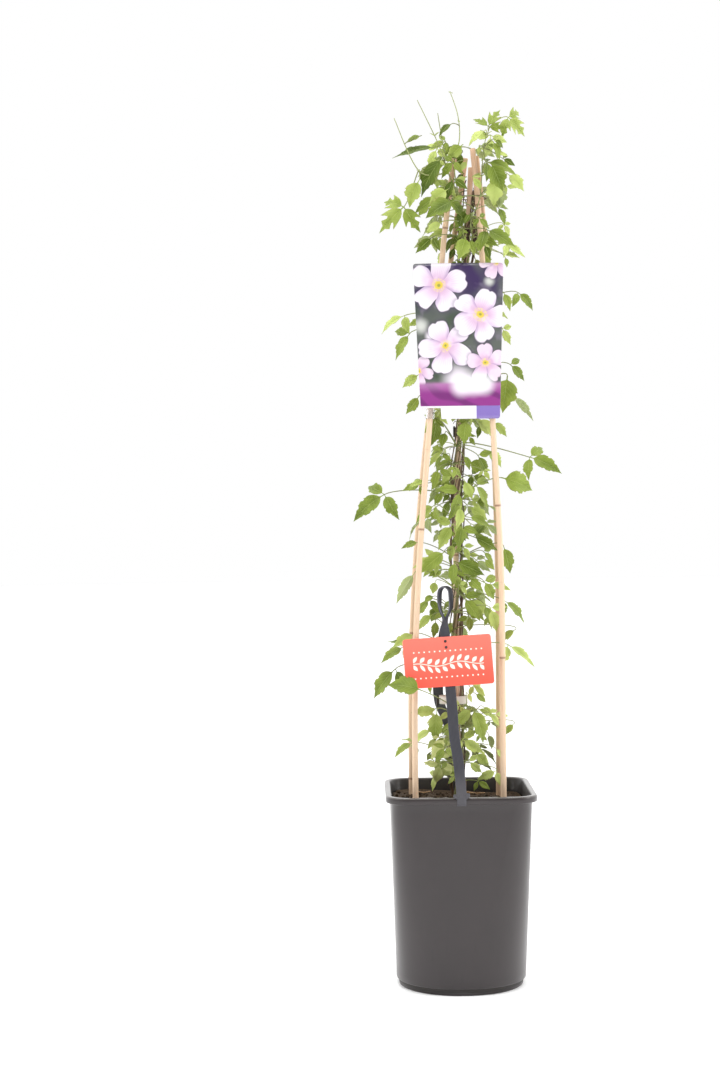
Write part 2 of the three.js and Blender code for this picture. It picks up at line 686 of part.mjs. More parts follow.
// The stem point a leaf grows from: near, a little lower, and on the side that faces the leaf.
function rootOf(vine, fork) {
  let best = null;
  let least = Infinity;
  vine.lines.forEach((line, lineIndex) => {
    line.forEach((point, i) => {
      const inRing = [STEM_BAND, STEM_CLIP, TOP_TIE].some((ring) => Math.abs(point.z - ring.centre.z) < 18);
      if (i === 0 || (lineIndex === 0 && inRing) || point.z < SOIL_TOP + 8) return;
      const away = fork.clone().sub(point);
      const flat = Math.hypot(away.x, away.y);
      const outward = vector(0, 0, 0);
      if (lineIndex === 0) {
        const axis = pointAtHeight(centreCane, point.z);
        outward.set(point.x - axis.x, point.y - axis.y, 0).normalize();
      }
      const facing = lineIndex === 0 ? (outward.x * away.x + outward.y * away.y) / flat : 1;
      const cost = away.length() + 0.5 * Math.abs(away.z - 0.35 * flat) + 16 * (1 - facing);
      if (cost < least) {
        least = cost;
        best = { point, outward };
      }
    });
  });
  return best;
}

function layOut(row, draws, vine, turn, lift) {
  const [x, y, z, aim, size, kindName, face] = row;
  const kind = KINDS[kindName];
  const axis = pointAtHeight(centreCane, Math.min(z, 1110));
  const angle = turn * RADIANS;
  const fork = turned(vector(x, y, z + lift), axis, angle);
  const lean = (face < 0 ? -draws.lean : draws.lean) * RADIANS;
  const along = vector(Math.cos(aim * RADIANS) * Math.cos(lean), -Math.sin(lean),
    Math.sin(aim * RADIANS) * Math.cos(lean)).applyAxisAngle(UP, angle);
  const sky = UP.clone().multiplyScalar(Math.cos(face * RADIANS))
    .addScaledVector(FRONT, Math.sin(face * RADIANS)).applyAxisAngle(UP, angle);
  const up = sky.addScaledVector(along, -sky.dot(along)).normalize();
  const side = up.clone().cross(along);
  const root = rootOf(vine, fork);
  const distance = root.point.distanceTo(fork);
  const controls = [
    root.point,
    root.point.clone().addScaledVector(root.outward, Math.min(12, 0.4 * distance))
      .addScaledVector(UP, 0.18 * distance),
    fork.clone().addScaledVector(along, -0.2 * distance),
    fork,
  ];
  const curve = new THREE.CubicBezierCurve3(...controls);
  const petiole = [0, 0.34, 0.7, 1].map((t) => curve.getPoint(t));
  const stalk = [0, 0.48, 1].map((t) => curve.getPoint(t));
  const blades = kind.leaflets.map(([spread, share], i) => {
    const swing = (spread + draws.swing[i]) * RADIANS;
    const way = along.clone().multiplyScalar(Math.cos(swing)).addScaledVector(side, Math.sin(swing));
    const tilt = draws.tilt[i] * RADIANS;
    const sideways = up.clone().cross(way);
    const blade = {
      base: fork,
      along: way,
      face: up.clone().multiplyScalar(Math.cos(tilt)).addScaledVector(sideways, Math.sin(tilt)),
      droop: draws.droop[i] * RADIANS,
      length: size * share,
      width: size * share * kind.width,
    };
    blade.side = blade.face.clone().cross(blade.along);
    return blade;
  });
  return { fork, petiole, stalk, blades };
}

// Points spread over a leaf, by which it is kept clear of what is near it.
function probesOf(leaf) {
  const probes = [];
  for (let i = 1; i < leaf.petiole.length; i += 1) {
    for (const t of [0.33, 0.67, 1]) probes.push(leaf.petiole[i - 1].clone().lerp(leaf.petiole[i], t));
  }
  for (const blade of leaf.blades) {
    for (let k = 1; k <= 8; k += 1) {
      const t = k / 8;
      const half = (blade.width / 2) * Math.min(1, 2.9 * t, 2.45 * (1.02 - t));
      for (const share of [-1, -0.5, 0, 0.5, 1]) probes.push(onBlade(blade, t, share * half));
    }
  }
  return probes;
}

function distanceToLine(point, line) {
  let least = Infinity;
  for (let i = 1; i < line.length; i += 1) {
    const step = line[i].clone().sub(line[i - 1]);
    const away = point.clone().sub(line[i - 1]);
    const t = Math.max(0, Math.min(1, away.dot(step) / step.lengthSq()));
    least = Math.min(least, away.addScaledVector(step, -t).length());
  }
  return least;
}

const closedRing = (ring) => {
  const line = ringLine(ring, 16);
  return [...line, line[0]];
};
const strapLine = STRAP_ROUTE.map(([x, y, z]) => vector(x, y, z));
const OBSTACLES = [
  ...Object.values(caneLines).map((line) => [line, CANE_RADIUS + 2.8]),
  [strapLine, STRAP_WIDTH / 2 + 1.5],
  [closedRing(STEM_BAND), 7.5],
  [closedRing(STEM_CLIP), 7.5],
  [closedRing(TOP_TIE), 4],
];

function meetsPlates(point) {
  const onCard = Math.abs(point.x - CARD_CENTRE.x) < CARD_WIDTH / 2 + 4
    && Math.abs(point.z - CARD_CENTRE.z) < CARD_HEIGHT / 2 + 7
    && Math.abs(point.y - cardY(point.z)) < 4;
  const onLabel = point.x > LABEL_X_TOP[0] - 3 && point.x < LABEL_X_TOP[1] + 3
    && point.z > LABEL_BOTTOM - 4 && point.z < LABEL_TOP + 4
    && Math.abs(point.y - labelY(point.x, point.z)) < 4;
  return onCard || onLabel;
}

function meetsPot(point) {
  const inside = Math.max(Math.abs(point.x), Math.abs(point.y)) < POT_TOP_HALF - 8;
  return point.z < (inside ? SOIL_TOP + 8 : POT_HEIGHT + 4);
}

function isClear(probes, own, vineName, placed) {
  for (const probe of probes) {
    if (meetsPlates(probe) || meetsPot(probe)) return false;
  }
  for (const [line, reach] of OBSTACLES) {
    for (const probe of probes) if (distanceToLine(probe, line) < reach) return false;
  }
  for (const [name, vine] of Object.entries(VINES)) {
    if (name !== vineName) {
      for (const line of vine.lines) {
        for (const probe of probes) if (distanceToLine(probe, line) < 4.4) return false;
      }
    }
  }
  for (const other of placed) {
    const reach = other.vine === vineName ? 3.6 : 5.6;
    for (const probe of probes.slice(own)) {
      for (const point of other.probes) if (probe.distanceTo(point) < reach) return false;
    }
  }
  return true;
}

const TURNS = [0, 8, -8, 16, -16, 24, -24, 34, -34, 46, -46, 60, -60, 80, -80];
const LIFTS = [0, 7, -7, 14];

// A leaf that meets something turns aside round the cane, or grows a little higher or lower.
function settle(row, draws, vineName, placed) {
  for (const lift of LIFTS) {
    for (const turn of TURNS) {
      const leaf = layOut(row, draws, VINES[vineName], turn, lift);
      leaf.probes = probesOf(leaf);
      if (isClear(leaf.probes, 3, vineName, placed)) return leaf;
    }
  }
  return null;
}

const placedLeaves = [];
for (const [vineName, rows] of Object.entries(LEAVES)) {
  const draw = makeDraw(VINES[vineName].seed);
  for (const row of rows) {
    const draws = { lean: draw(-4, 20), swing: [], tilt: [], droop: [] };
    for (let i = 0; i < 3; i += 1) {
      draws.swing.push(draw(-3, 3));
      draws.tilt.push(draw(-24, 24));
      draws.droop.push(draw(18, 52));
    }
    const leaf = settle(row, draws, vineName, placedLeaves);
    if (leaf) placedLeaves.push({ ...leaf, vine: vineName, row });
  }
}

function makeVine(name) {
  const vine = VINES[name];
  const solids = vine.lines.map((line, i) => {
    const radii = line.map((point, k) => {
      const thin = mix(1, 0.62, k / (line.length - 1));
      return i === 0 ? stemRadius(point.z) : STEM_TIP_RADIUS * thin;
    });
    return toSolid(rodAlong(line, radii, i === 0 ? 5 : 3));
  });
  for (const leaf of placedLeaves.filter((placed) => placed.vine === name)) {
    solids.push(toSolid(leafGeometry(leaf)));
  }
  return Manifold.union(solids);
}

// ---------------------------------------------------------------- soil with its plain holes

const soilHeight = (x, y) => SOIL_TOP - SOIL_SLOPE * x
  + 2.2 * Math.sin(0.09 * x + 1) * Math.cos(0.08 * y) + 1.1 * Math.sin(0.23 * x + 0.17 * y);

function makeSoil() {
  const rings = [];
  for (const z of [POT_FLOOR + GAP, 70, 150, SOIL_TOP - 6]) {
    const inset = POT_WALL + GAP + (z < 10 ? 3.4 : 0);
    rings.push(squareRound(potHalf(z) - inset, potFlat(z), z, SOIL_CORNER_STEPS));
  }
  const edge = rings[rings.length - 1];
  for (const share of [0.96, 0.74, 0.5, 0.25]) {
    rings.push(edge.map((point) => {
      const x = point.x * share;
      const y = point.y * share;
      return vector(x, y, soilHeight(x, y));
    }));
  }
  const body = skinOver(rings, {
    start: vector(0, 0, POT_FLOOR + GAP),
    end: vector(0, 0, soilHeight(0, 0)),
  });
  let solid = toSolid(body);
  for (const line of Object.values(caneLines)) {
    const buried = [line[0].clone().addScaledVector(UP, -GAP), pointAtHeight(line, SOIL_TOP + 20)];
    const radii = buried.map(() => CANE_RADIUS * CANE_JOINT_SWELL + GAP);
    solid = solid.subtract(toSolid(rodAlong(buried, radii, 8)));
  }
  for (const vine of Object.values(VINES)) {
    const buried = vine.main.filter((point) => point.z < SOIL_TOP + 30).map((point) => point.clone());
    buried[0].z -= GAP;
    solid = solid.subtract(toSolid(rodAlong(buried, buried.map(() => STEM_RADIUS + GAP), 5)));
  }
  return toGeometry(solid);
}

// ---------------------------------------------------------------- strap, card, label, ties

function makeStrap() {
  const rings = STRAP_ROUTE.map(([x, y, z, width, twist], i) => {
    const centre = vector(x, y, z);
    const ahead = strapLine[Math.min(i + 1, strapLine.length - 1)];
    const behind = strapLine[Math.max(i - 1, 0)];
    const toAhead = ahead.clone().sub(centre).normalize();
    const toBehind = centre.clone().sub(behind).normalize();
    const tangent = toAhead.clone().add(toBehind).normalize();
    const across = vector(Math.cos(twist * RADIANS), Math.sin(twist * RADIANS), 0);
    across.addScaledVector(tangent, -across.dot(tangent)).normalize();
    const through = tangent.clone().cross(across);
    const bothEnds = i > 0 && i < STRAP_ROUTE.length - 1;
    const mitre = bothEnds ? 1 / Math.max(0.6, Math.sqrt((1 + toAhead.dot(toBehind)) / 2)) : 1;
    const thick = (STRAP_THICKNESS / 2) * mitre;
    return [[1, 1], [-1, 1], [-1, -1], [1, -1]].map(([a, b]) => centre.clone()
      .addScaledVector(across, (a * width) / 2)
      .addScaledVector(through, b * thick));
  });
  return skinOver(rings);
}

function roundedPlate(width, height, corner) {
  const shape = new THREE.Shape();
  const [w, h] = [width / 2, height / 2];
  shape.moveTo(-w + corner, -h);
  shape.lineTo(w - corner, -h);
  shape.absarc(w - corner, -h + corner, corner, -Math.PI / 2, 0);
  shape.lineTo(w, h - corner);
  shape.absarc(w - corner, h - corner, corner, 0, Math.PI / 2);
  shape.lineTo(-w + corner, h);
  shape.absarc(-w + corner, h - corner, corner, Math.PI / 2, Math.PI);
  shape.lineTo(-w, -h + corner);
  shape.absarc(-w + corner, -h + corner, corner, Math.PI, 1.5 * Math.PI);
  return shape;
}

const STUD_PLACES = [[-2.1, 27.3], [-1.6, 19.2]]; // on the card, from its middle
const STUD_SHAFT = 1.1;
const STUD_HEAD = 2;

// The frame of the card: x along its width, y up its height, z towards the front.
const cardFrame = new THREE.Matrix4();
{
  const lean = Math.atan(CARD_LEAN);
  cardFrame.makeRotationX(Math.PI / 2 - lean);
  cardFrame.multiply(new THREE.Matrix4().makeRotationZ(CARD_TILT * RADIANS));
  cardFrame.setPosition(CARD_CENTRE);
}

function makeCard() {
  const shape = roundedPlate(CARD_WIDTH, CARD_HEIGHT, CARD_CORNER);
  for (const [x, y] of STUD_PLACES) {
    const hole = new THREE.Path();
    hole.absarc(x, y, STUD_SHAFT + GAP, 0, 2 * Math.PI, true);
    shape.holes.push(hole);
  }
  const plate = new THREE.ExtrudeGeometry(shape, {
    depth: PLATE_THICKNESS,
    bevelEnabled: false,
    curveSegments: 4,
  });
  plate.translate(0, 0, -PLATE_THICKNESS / 2);
  return plate.applyMatrix4(cardFrame);
}

function makeStud([x, y]) {
  const back = -PLATE_THICKNESS / 2 - GAP * 0.4;
  const front = PLATE_THICKNESS / 2 + GAP;
  const profile = [
    new THREE.Vector2(0, back),
    new THREE.Vector2(STUD_SHAFT, back),
    new THREE.Vector2(STUD_SHAFT, front),
    new THREE.Vector2(STUD_HEAD, front),
    new THREE.Vector2(STUD_HEAD * 0.8, front + 0.8),
    new THREE.Vector2(0, front + 1),
  ];
  const stud = new THREE.LatheGeometry(profile, 6);
  stud.rotateX(Math.PI / 2);
  stud.translate(x, y, 0);
  return stud.applyMatrix4(cardFrame);
}

function makeLabel() {
  const columns = 12;
  const corner = 3.5;
  const rings = [];
  const rise = (z) => (z - LABEL_BOTTOM) / (LABEL_TOP - LABEL_BOTTOM);
  const left = (z) => mix(LABEL_X_BOTTOM[0], LABEL_X_TOP[0], rise(z));
  const right = (z) => mix(LABEL_X_BOTTOM[1], LABEL_X_TOP[1], rise(z));
  const shares = [0, 0.012];
  for (let k = 1; k < columns; k += 1) shares.push(k / columns);
  shares.push(0.988, 1);
  for (const share of shares) {
    const atEnd = share === 0 || share === 1;
    const cut = atEnd ? corner : 0;
    const stepped = mix(left(LABEL_BOTTOM), right(LABEL_BOTTOM), share) < LABEL_STEP_X;
    const low = (stepped ? LABEL_STEP : LABEL_BOTTOM) + cut * 0.7;
    const high = LABEL_TOP - cut;
    const levels = [0, 0.25, 0.5, 0.75, 1].map((t) => mix(low, high, t));
    const place = (z, through) => {
      const x = mix(left(z), right(z), share);
      return vector(x, labelY(x, z) + through, z);
    };
    const ring = levels.map((z) => place(z, PLATE_THICKNESS / 2));
    ring.push(...[...levels].reverse().map((z) => place(z, -PLATE_THICKNESS / 2)));
    rings.push(ring);
  }
  return skinOver(rings);
}

const SLEEVE = { low: 773.5, high: 787, inner: 5.1, outer: 5.9 };

function makeSleeve() {
  const line = [SLEEVE.low, SLEEVE.high].map((z) => pointAtHeight(caneLines.cane_front_left, z));
  const reach = line[1].clone().sub(line[0]).normalize();
  const long = [line[0].clone().addScaledVector(reach, -2), line[1].clone().addScaledVector(reach, 2)];
  const outer = toSolid(rodAlong(line, [SLEEVE.outer, SLEEVE.outer], 10));
  const inner = toSolid(rodAlong(long, [SLEEVE.inner, SLEEVE.inner], 10));
  return toGeometry(outer.subtract(inner));
}

function makeClip() {
  const ring = toSolid(makeRing(STEM_CLIP, 16));
  const latch = new THREE.BoxGeometry(3, 5, STEM_CLIP.height + 3);
  latch.translate(ringLine(STEM_CLIP, 16)[8].x - 1.2, -1, STEM_CLIP.centre.z);
  return toGeometry(ring.add(toSolid(latch)));
}

function makeBuckle() {
  const buckle = new THREE.BoxGeometry(3.4, 7, 15);
  buckle.translate(STEM_BAND.centre.x - STEM_BAND.across - 0.5 - GAP - 1.7, 0, STEM_BAND.centre.z - 1);
  return buckle;
}

// ---------------------------------------------------------------- the plant in its pot

const plant = new THREE.Group();

function addPiece(name, geometry, color, roughness, metalness = 0) {
  const bare = geometry.index ? geometry.toNonIndexed() : geometry;
  bare.deleteAttribute('normal');
  bare.deleteAttribute('uv');
  bare.computeVertexNormals();
  const material = new THREE.MeshStandardMaterial({ color, roughness, metalness });
  const mesh = new THREE.Mesh(bare, material);
  mesh.name = name;
  plant.add(mesh);
}

addPiece('pot', makePot(), 0x4a4646, 0.5);
addPiece('soil', makeSoil(), 0x2f1f17, 0.95);
Object.keys(CANES).forEach((name, order) => addPiece(name, makeCane(name, order), 0xdcb88c, 0.55));
for (const name of Object.keys(VINES)) addPiece(name, toGeometry(makeVine(name)), 0x6f9440, 0.6);
addPiece('carry_strap', makeStrap(), 0x4d5058, 0.45);
addPiece('hang_card', makeCard(), 0xf4644c, 0.5);
STUD_PLACES.forEach((place, k) => addPiece(`card_stud_${k + 1}`, makeStud(place), 0x3a2c2c, 0.5));
addPiece('picture_label', makeLabel(), 0xc9b4d8, 0.35);
addPiece('label_sleeve', makeSleeve(), 0xe8e8e4, 0.2);
addPiece('stem_band', makeRing(STEM_BAND, 16), 0xe6e2da, 0.4);
addPiece('band_buckle', makeBuckle(), 0x3b332c, 0.6);
addPiece('stem_clip', makeClip(), 0x33302c, 0.5);
addPiece('cane_tie_ring', makeRing(TOP_TIE, 20), 0x35332f, 0.6);

export default plant;
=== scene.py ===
# %% [markdown]
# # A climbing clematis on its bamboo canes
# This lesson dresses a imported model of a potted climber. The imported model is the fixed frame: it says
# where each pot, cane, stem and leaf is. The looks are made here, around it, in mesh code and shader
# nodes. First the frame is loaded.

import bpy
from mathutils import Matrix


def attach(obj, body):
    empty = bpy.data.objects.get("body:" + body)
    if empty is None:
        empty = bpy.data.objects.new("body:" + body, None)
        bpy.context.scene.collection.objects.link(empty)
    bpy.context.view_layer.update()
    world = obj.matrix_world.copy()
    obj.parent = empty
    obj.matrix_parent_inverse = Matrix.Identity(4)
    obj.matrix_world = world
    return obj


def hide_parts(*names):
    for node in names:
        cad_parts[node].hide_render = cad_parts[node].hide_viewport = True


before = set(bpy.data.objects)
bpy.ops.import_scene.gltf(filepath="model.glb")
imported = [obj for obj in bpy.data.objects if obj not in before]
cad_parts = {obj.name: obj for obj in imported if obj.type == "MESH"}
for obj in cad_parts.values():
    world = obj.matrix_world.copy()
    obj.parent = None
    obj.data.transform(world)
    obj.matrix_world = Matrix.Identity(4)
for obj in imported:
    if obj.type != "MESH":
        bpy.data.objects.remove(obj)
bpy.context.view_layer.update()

# %% [markdown]
# The plant was measured in millimetres, and Blender works in metres. All sizes below are therefore
# in millimetres, in numpy arrays, and are multiplied by MM once, where a mesh is made.

# %% Modules and units
import math

import bmesh
import bpy
import numpy as np
from mathutils import Matrix, Vector, noise

MM = 0.001
UP = np.array([0.0, 0.0, 1.0])
FRONT = np.array([0.0, -1.0, 0.0])


def mix(a, b, t):
    return a + (b - a) * t


def unit(v):
    return v / np.linalg.norm(v)


# %% [markdown]
# ## Camera, floor and light
# The camera stands 66 cm high and 2.7 m in front of the pot. It looks down by one degree and is held a
# little askew: verticals lean to the left by 0.7 degrees. A camera's own axes are right, up and back, so
# its turn is written down as those three columns.

# %% Camera
CAMERA_PLACE = (-0.132, -2.70, 0.66)
CAMERA_PITCH = math.atan2(0.05, 2.70)  # looks down at a point 5 cm below its own height
CAMERA_ROLL = math.radians(0.7)
CAMERA_LENS = 65.5

view = bpy.data.cameras.new("photo_camera")
view.lens = CAMERA_LENS
view.sensor_width = 36
camera = bpy.data.objects.new("photo_camera", view)
level, upright = Vector((1, 0, 0)), Vector((0, math.sin(CAMERA_PITCH), math.cos(CAMERA_PITCH)))
right = level * math.cos(CAMERA_ROLL) - upright * math.sin(CAMERA_ROLL)
top = level * math.sin(CAMERA_ROLL) + upright * math.cos(CAMERA_ROLL)
camera.rotation_euler = Matrix((right, top, right.cross(top))).transposed().to_euler()
camera.location = CAMERA_PLACE
bpy.context.scene.collection.objects.link(camera)
bpy.context.scene.camera = camera
print("camera looks along", tuple(round(x, 2) for x in -right.cross(top)))

# %% [markdown]
# The picture is high key: white all round, with only a breath of shadow under the pot. Walls of a
# studio cove are white beside and behind the object, and the room in front of it is darker. So the
# world is white for what looks at it and behind the pot, and dimmer in front. Plastic then keeps its
# dark face and gets bright rims, and three large soft lights add shape.

# %% World and lights
scene = bpy.context.scene
scene.view_settings.view_transform = "Standard"
world = bpy.data.worlds.new("white_studio")
scene.world = world
world.use_nodes = True
FRONT_LIGHT, BACK_LIGHT = 0.38, 1.9
sky = world.node_tree
backdrop = sky.nodes["Background"]
backdrop.inputs["Color"].default_value = (1, 1, 1, 1)


def sky_node(kind, settings, sources):
    """Adds a node to the world. A source is a number or another node's output."""
    node = sky.nodes.new(kind)
    for name, value in settings.items():
        setattr(node, name, value)
    for name, source in sources.items():
        if isinstance(source, bpy.types.NodeSocket):
            sky.links.new(source, node.inputs[name])
        else:
            node.inputs[name].default_value = source
    return node.outputs


direction = sky_node("ShaderNodeTexCoord", {}, {})["Generated"]
axes = sky_node("ShaderNodeSeparateXYZ", {}, {0: direction})
lit = sky_node(
    "ShaderNodeMapRange", {},
    {"Value": axes["Y"], "From Min": -0.2, "From Max": 0.2, "To Min": FRONT_LIGHT, "To Max": BACK_LIGHT},
)[0]
looked_at = sky_node("ShaderNodeLightPath", {}, {})["Is Camera Ray"]
strength = sky_node(
    "ShaderNodeMix", {"data_type": "FLOAT"}, {"Factor": looked_at, "A": lit, "B": 1.0}
)[0]
sky.links.new(strength, backdrop.inputs["Strength"])

SOFTBOXES = {  # place in metres, width, height, power in watts
    "left_softbox": ((-2.3, -1.2, 1.6), 1.2, 1.8, 20),
    "right_softbox": ((2.3, -0.7, 1.5), 1.0, 2.0, 34),
    "top_softbox": ((-0.3, -1.1, 3.2), 1.8, 1.8, 56),
}
LIGHTS_AIM = Vector((0, 0, 0.6))
for name, (place, width, height, power) in SOFTBOXES.items():
    lamp = bpy.data.lights.new(name, "AREA")
    lamp.shape = "RECTANGLE"
    lamp.size, lamp.size_y, lamp.energy = width, height, power
    softbox = bpy.data.objects.new(name, lamp)
    softbox.location = place
    softbox.rotation_euler = (LIGHTS_AIM - softbox.location).to_track_quat("-Z", "Y").to_euler()
    scene.collection.objects.link(softbox)
print(len(SOFTBOXES), "soft lights")

# %% [markdown]
# ## Shader maths in Python
# A shader is a graph of small nodes. Written by hand it is hard to read, so a Signal wraps one output
# socket and lets Python's own operators add the Math nodes. A Finish is one material: its `add` method
# makes any other node from a type, its settings and its sockets, and `paint` links a result to the
# shader. Colours go through Mix nodes, because a Math node would turn them grey.

# %% Signal and Finish
class Signal:
    """One output socket, used in expressions as if it were a number."""

    def __init__(self, finish, socket):
        self.finish = finish
        self.socket = socket

    def maths(self, operation, first, second=0.0):
        return self.finish.add("ShaderNodeMath", {"operation": operation}, {0: first, 1: second})

    def __add__(self, other):
        return self.maths("ADD", self, other)

    def __sub__(self, other):
        return self.maths("SUBTRACT", self, other)

    def __rsub__(self, other):
        return self.maths("SUBTRACT", other, self)

    def __mul__(self, other):
        return self.maths("MULTIPLY", self, other)

    def __truediv__(self, other):
        return self.maths("DIVIDE", self, other)

    def __rtruediv__(self, other):
        return self.maths("DIVIDE", other, self)

    def __pow__(self, other):
        return self.maths("POWER", self, other)

    def __neg__(self):
        return self.maths("SUBTRACT", 0.0, self)

    def __abs__(self):
        return self.of("ABSOLUTE")

    def of(self, operation, second=0.0):
        """A Math node that Python has no sign for, such as SINE or FRACT."""
        return self.maths(operation, self, second)

    __radd__ = __add__
    __rmul__ = __mul__

    def part(self, axis):
        """X, Y or Z of a vector."""
        return self.finish.add("ShaderNodeSeparateXYZ", {}, {0: self}, output=axis)


class Finish:
    """A material with a Principled shader. Numbers that are the same all over go in `even`."""

    def __init__(self, name, **even):
        self.material = bpy.data.materials.new(name)
        self.material.use_nodes = True
        self.tree = self.material.node_tree
        self.shader = self.tree.nodes["Principled BSDF"]
        for socket, value in even.items():
            self.shader.inputs[socket.replace("_", " ")].default_value = value

    def feed(self, socket, value):
        if isinstance(value, Signal):
            self.tree.links.new(value.socket, socket)
        else:
            socket.default_value = value

    def add(self, kind, settings=None, inputs=None, output=0):
        node = self.tree.nodes.new(kind)
        for name, value in (settings or {}).items():
            setattr(node, name, value)
        for name, value in (inputs or {}).items():
            self.feed(node.inputs[name], value)
        return Signal(self, node.outputs[output])

    def paint(self, **sockets):
        for name, value in sockets.items():
            self.feed(self.shader.inputs[name.replace("_", " ")], value)
        print(f"{self.material.name}: {len(self.tree.nodes)} shader nodes")

    def blend(self, share, first, second):
        """A colour between two colours."""
        return self.add("ShaderNodeMix", {"data_type": "RGBA"}, {0: share, 6: first, 7: second}, output=2)

    def overlay(self, colour, *layers):
        """Lays layers over a colour in turn. Each is its share, from 0 to 1, and its own colour."""
        for share, layer in layers:
            colour = self.blend(share, colour, layer)
        return colour

    def rise(self, value, low, high):
        """0 below low, 1 above high, and smooth between. With low above high it falls."""
        return self.add(
            "ShaderNodeMapRange",
            {"interpolation_type": "SMOOTHSTEP"},
            {"Value": value, "From Min": low, "From Max": high},
        )

    def mark(self, name):
        """A value stored on the mesh's points."""
        return self.add("ShaderNodeAttribute", {"attribute_name": name}, output="Vector")

    def place(self, stretch=(1, 1, 1)):
        """The point's own place in metres, each axis multiplied by its stretch."""
        own = self.add("ShaderNodeTexCoord", output="Object")
        return self.add("ShaderNodeVectorMath", {"operation": "MULTIPLY"}, {0: own, 1: stretch})

    def grain(self, scale, detail=2.0, stretch=(1, 1, 1)):
        """Cloudy noise from 0 to 1, with this many cells to the metre."""
        sockets = {"Vector": self.place(stretch), "Scale": scale, "Detail": detail}
        return self.add("ShaderNodeTexNoise", {}, sockets)

    def emboss(self, height, millimetres, strength=1.0):
        sockets = {"Height": height, "Distance": millimetres * MM, "Strength": strength}
        self.feed(self.shader.inputs["Normal"], self.add("ShaderNodeBump", {}, sockets))


def shade(red, green, blue):
    """A colour read off the picture, 0 to 255, as the linear light that a shader works with."""

    def light(c):
        c = c / 255
        return c / 12.92 if c <= 0.04045 else ((c + 0.055) / 1.055) ** 2.4

    return (light(red), light(green), light(blue), 1.0)


print("mid grey is", round(shade(128, 128, 128)[0], 3), "in linear light")

# %% [markdown]
# ## Mesh helpers
# Three forms make up almost the whole plant: a tube along a line, a skin over a row of rings, and a
# thin closed sheet between two grids of points. A Clump collects many such bodies into one mesh, with
# marks on their points that the shaders read later.

# %% Circle, ring and tube
def circle(count):
    """Points of a flat circle of radius 1."""
    angles = np.arange(count) * 2 * math.pi / count
    return np.stack([np.cos(angles), np.sin(angles), np.zeros(count)], -1)


def ring_round(centre, radius, axis, across, count):
    """A circle of points, square to an axis. The first one lies in the direction across."""
    turn = circle(count)
    return centre + radius * (turn[:, :1] * across + turn[:, 1:2] * np.cross(axis, across))


def tube(line, radii, sides):
    """Rings of points round a line, carried along without twisting, and closed at both ends."""
    line = np.asarray(line, float)
    tangents = np.gradient(line, axis=0)
    tangents /= np.linalg.norm(tangents, axis=1)[:, None]
    across = np.array([1.0, 0, 0]) if abs(tangents[0][0]) < 0.9 else np.array([0, 1.0, 0])
    rings = []
    for point, tangent, radius in zip(line, tangents, radii):
        across = unit(across - tangent * (across @ tangent))
        rings.append(ring_round(point, radius, tangent, across, sides))
    return skin(np.array(rings))


# %% Skin and sheet
def skin(rings, looped=False):
    """A closed body over rings of equally many points. With looped, the last ring joins the first."""
    count, around = rings.shape[:2]
    place = np.arange(count * around).reshape(count, around)
    if looped:
        place = np.vstack([place, place[:1]])
    low, high = place[:-1], place[1:]
    quads = np.stack([low, np.roll(low, -1, 1), np.roll(high, -1, 1), high], -1).reshape(-1, 4)
    faces = quads.tolist()
    if not looped:
        faces += [place[0][::-1].tolist(), place[-1].tolist()]
    return rings.reshape(-1, 3), faces


def sheet(upper, under):
    """A thin closed body between two grids of points with the same rows and columns."""
    rows, columns = upper.shape[:2]
    count = rows * columns
    place = np.arange(count).reshape(rows, columns)
    quads = np.stack([place[:-1, :-1], place[:-1, 1:], place[1:, 1:], place[1:, :-1]], -1).reshape(-1, 4)
    border = np.concatenate([place[0, :-1], place[:-1, -1], place[-1, :0:-1], place[:0:-1, 0]])
    ahead = np.roll(border, -1)
    rim = np.stack([ahead, border, border + count, ahead + count], -1)
    faces = np.concatenate([quads, quads[:, ::-1] + count, rim]).tolist()
    return np.concatenate([upper.reshape(-1, 3), under.reshape(-1, 3)]), faces


# %% Clump
class Clump:
    """Many small closed bodies that become one mesh."""

    def __init__(self):
        self.points = []
        self.faces = []
        self.marks = {}
        self.count = 0

    def add(self, body, **marks):
        points, faces = body
        self.faces += [[index + self.count for index in face] for face in faces]
        self.points.append(points)
        for name, values in marks.items():
            spread = np.broadcast_to(np.asarray(values, float), (len(points), 3))
            self.marks.setdefault(name, []).append(spread)
        self.count += len(points)


def one(body, **marks):
    """A Clump with a single body."""
    clump = Clump()
    clump.add(body, **marks)
    return clump


# %% [markdown]
# A piece is a mesh object that rides on the plant's only body, and the nodes of the imported model that
# it stands for are hidden. All pieces are made by one function, so that none of this is forgotten, and
# it turns every face outward at the end.

# %% Make a piece
def make_piece(name, clump, finish, slot, *stands_for, flat=False):
    """Turns a Clump into an object that rides on the plant and takes the place of CAD nodes."""
    mesh = bpy.data.meshes.new(name)
    mesh.from_pydata((np.concatenate(clump.points) * MM).tolist(), [], clump.faces)
    for mark, parts in clump.marks.items():
        layer = mesh.attributes.new(mark, "FLOAT_VECTOR", "POINT")
        layer.data.foreach_set("vector", np.concatenate(parts).astype(np.float32).ravel())
    mesh.materials.append(finish.material)
    mesh.polygons.foreach_set("use_smooth", [not flat] * len(mesh.polygons))
    body = bmesh.new()
    body.from_mesh(mesh)
    bmesh.ops.recalc_face_normals(body, faces=body.faces)
    body.to_mesh(mesh)
    body.free()
    piece = bpy.data.objects.new(name, mesh)
    scene.collection.objects.link(piece)
    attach(piece, "root")
    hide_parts(*stands_for)
    print(f"{name}: {len(mesh.polygons)} faces")
    return piece


# %% [markdown]
# ## Floor
# The pot stands on a plain pale floor. It is staged, so it isn't part of the object. One large disc is
# enough: it only has to catch the soft shadow. It glows a little, so that it runs into the white behind.

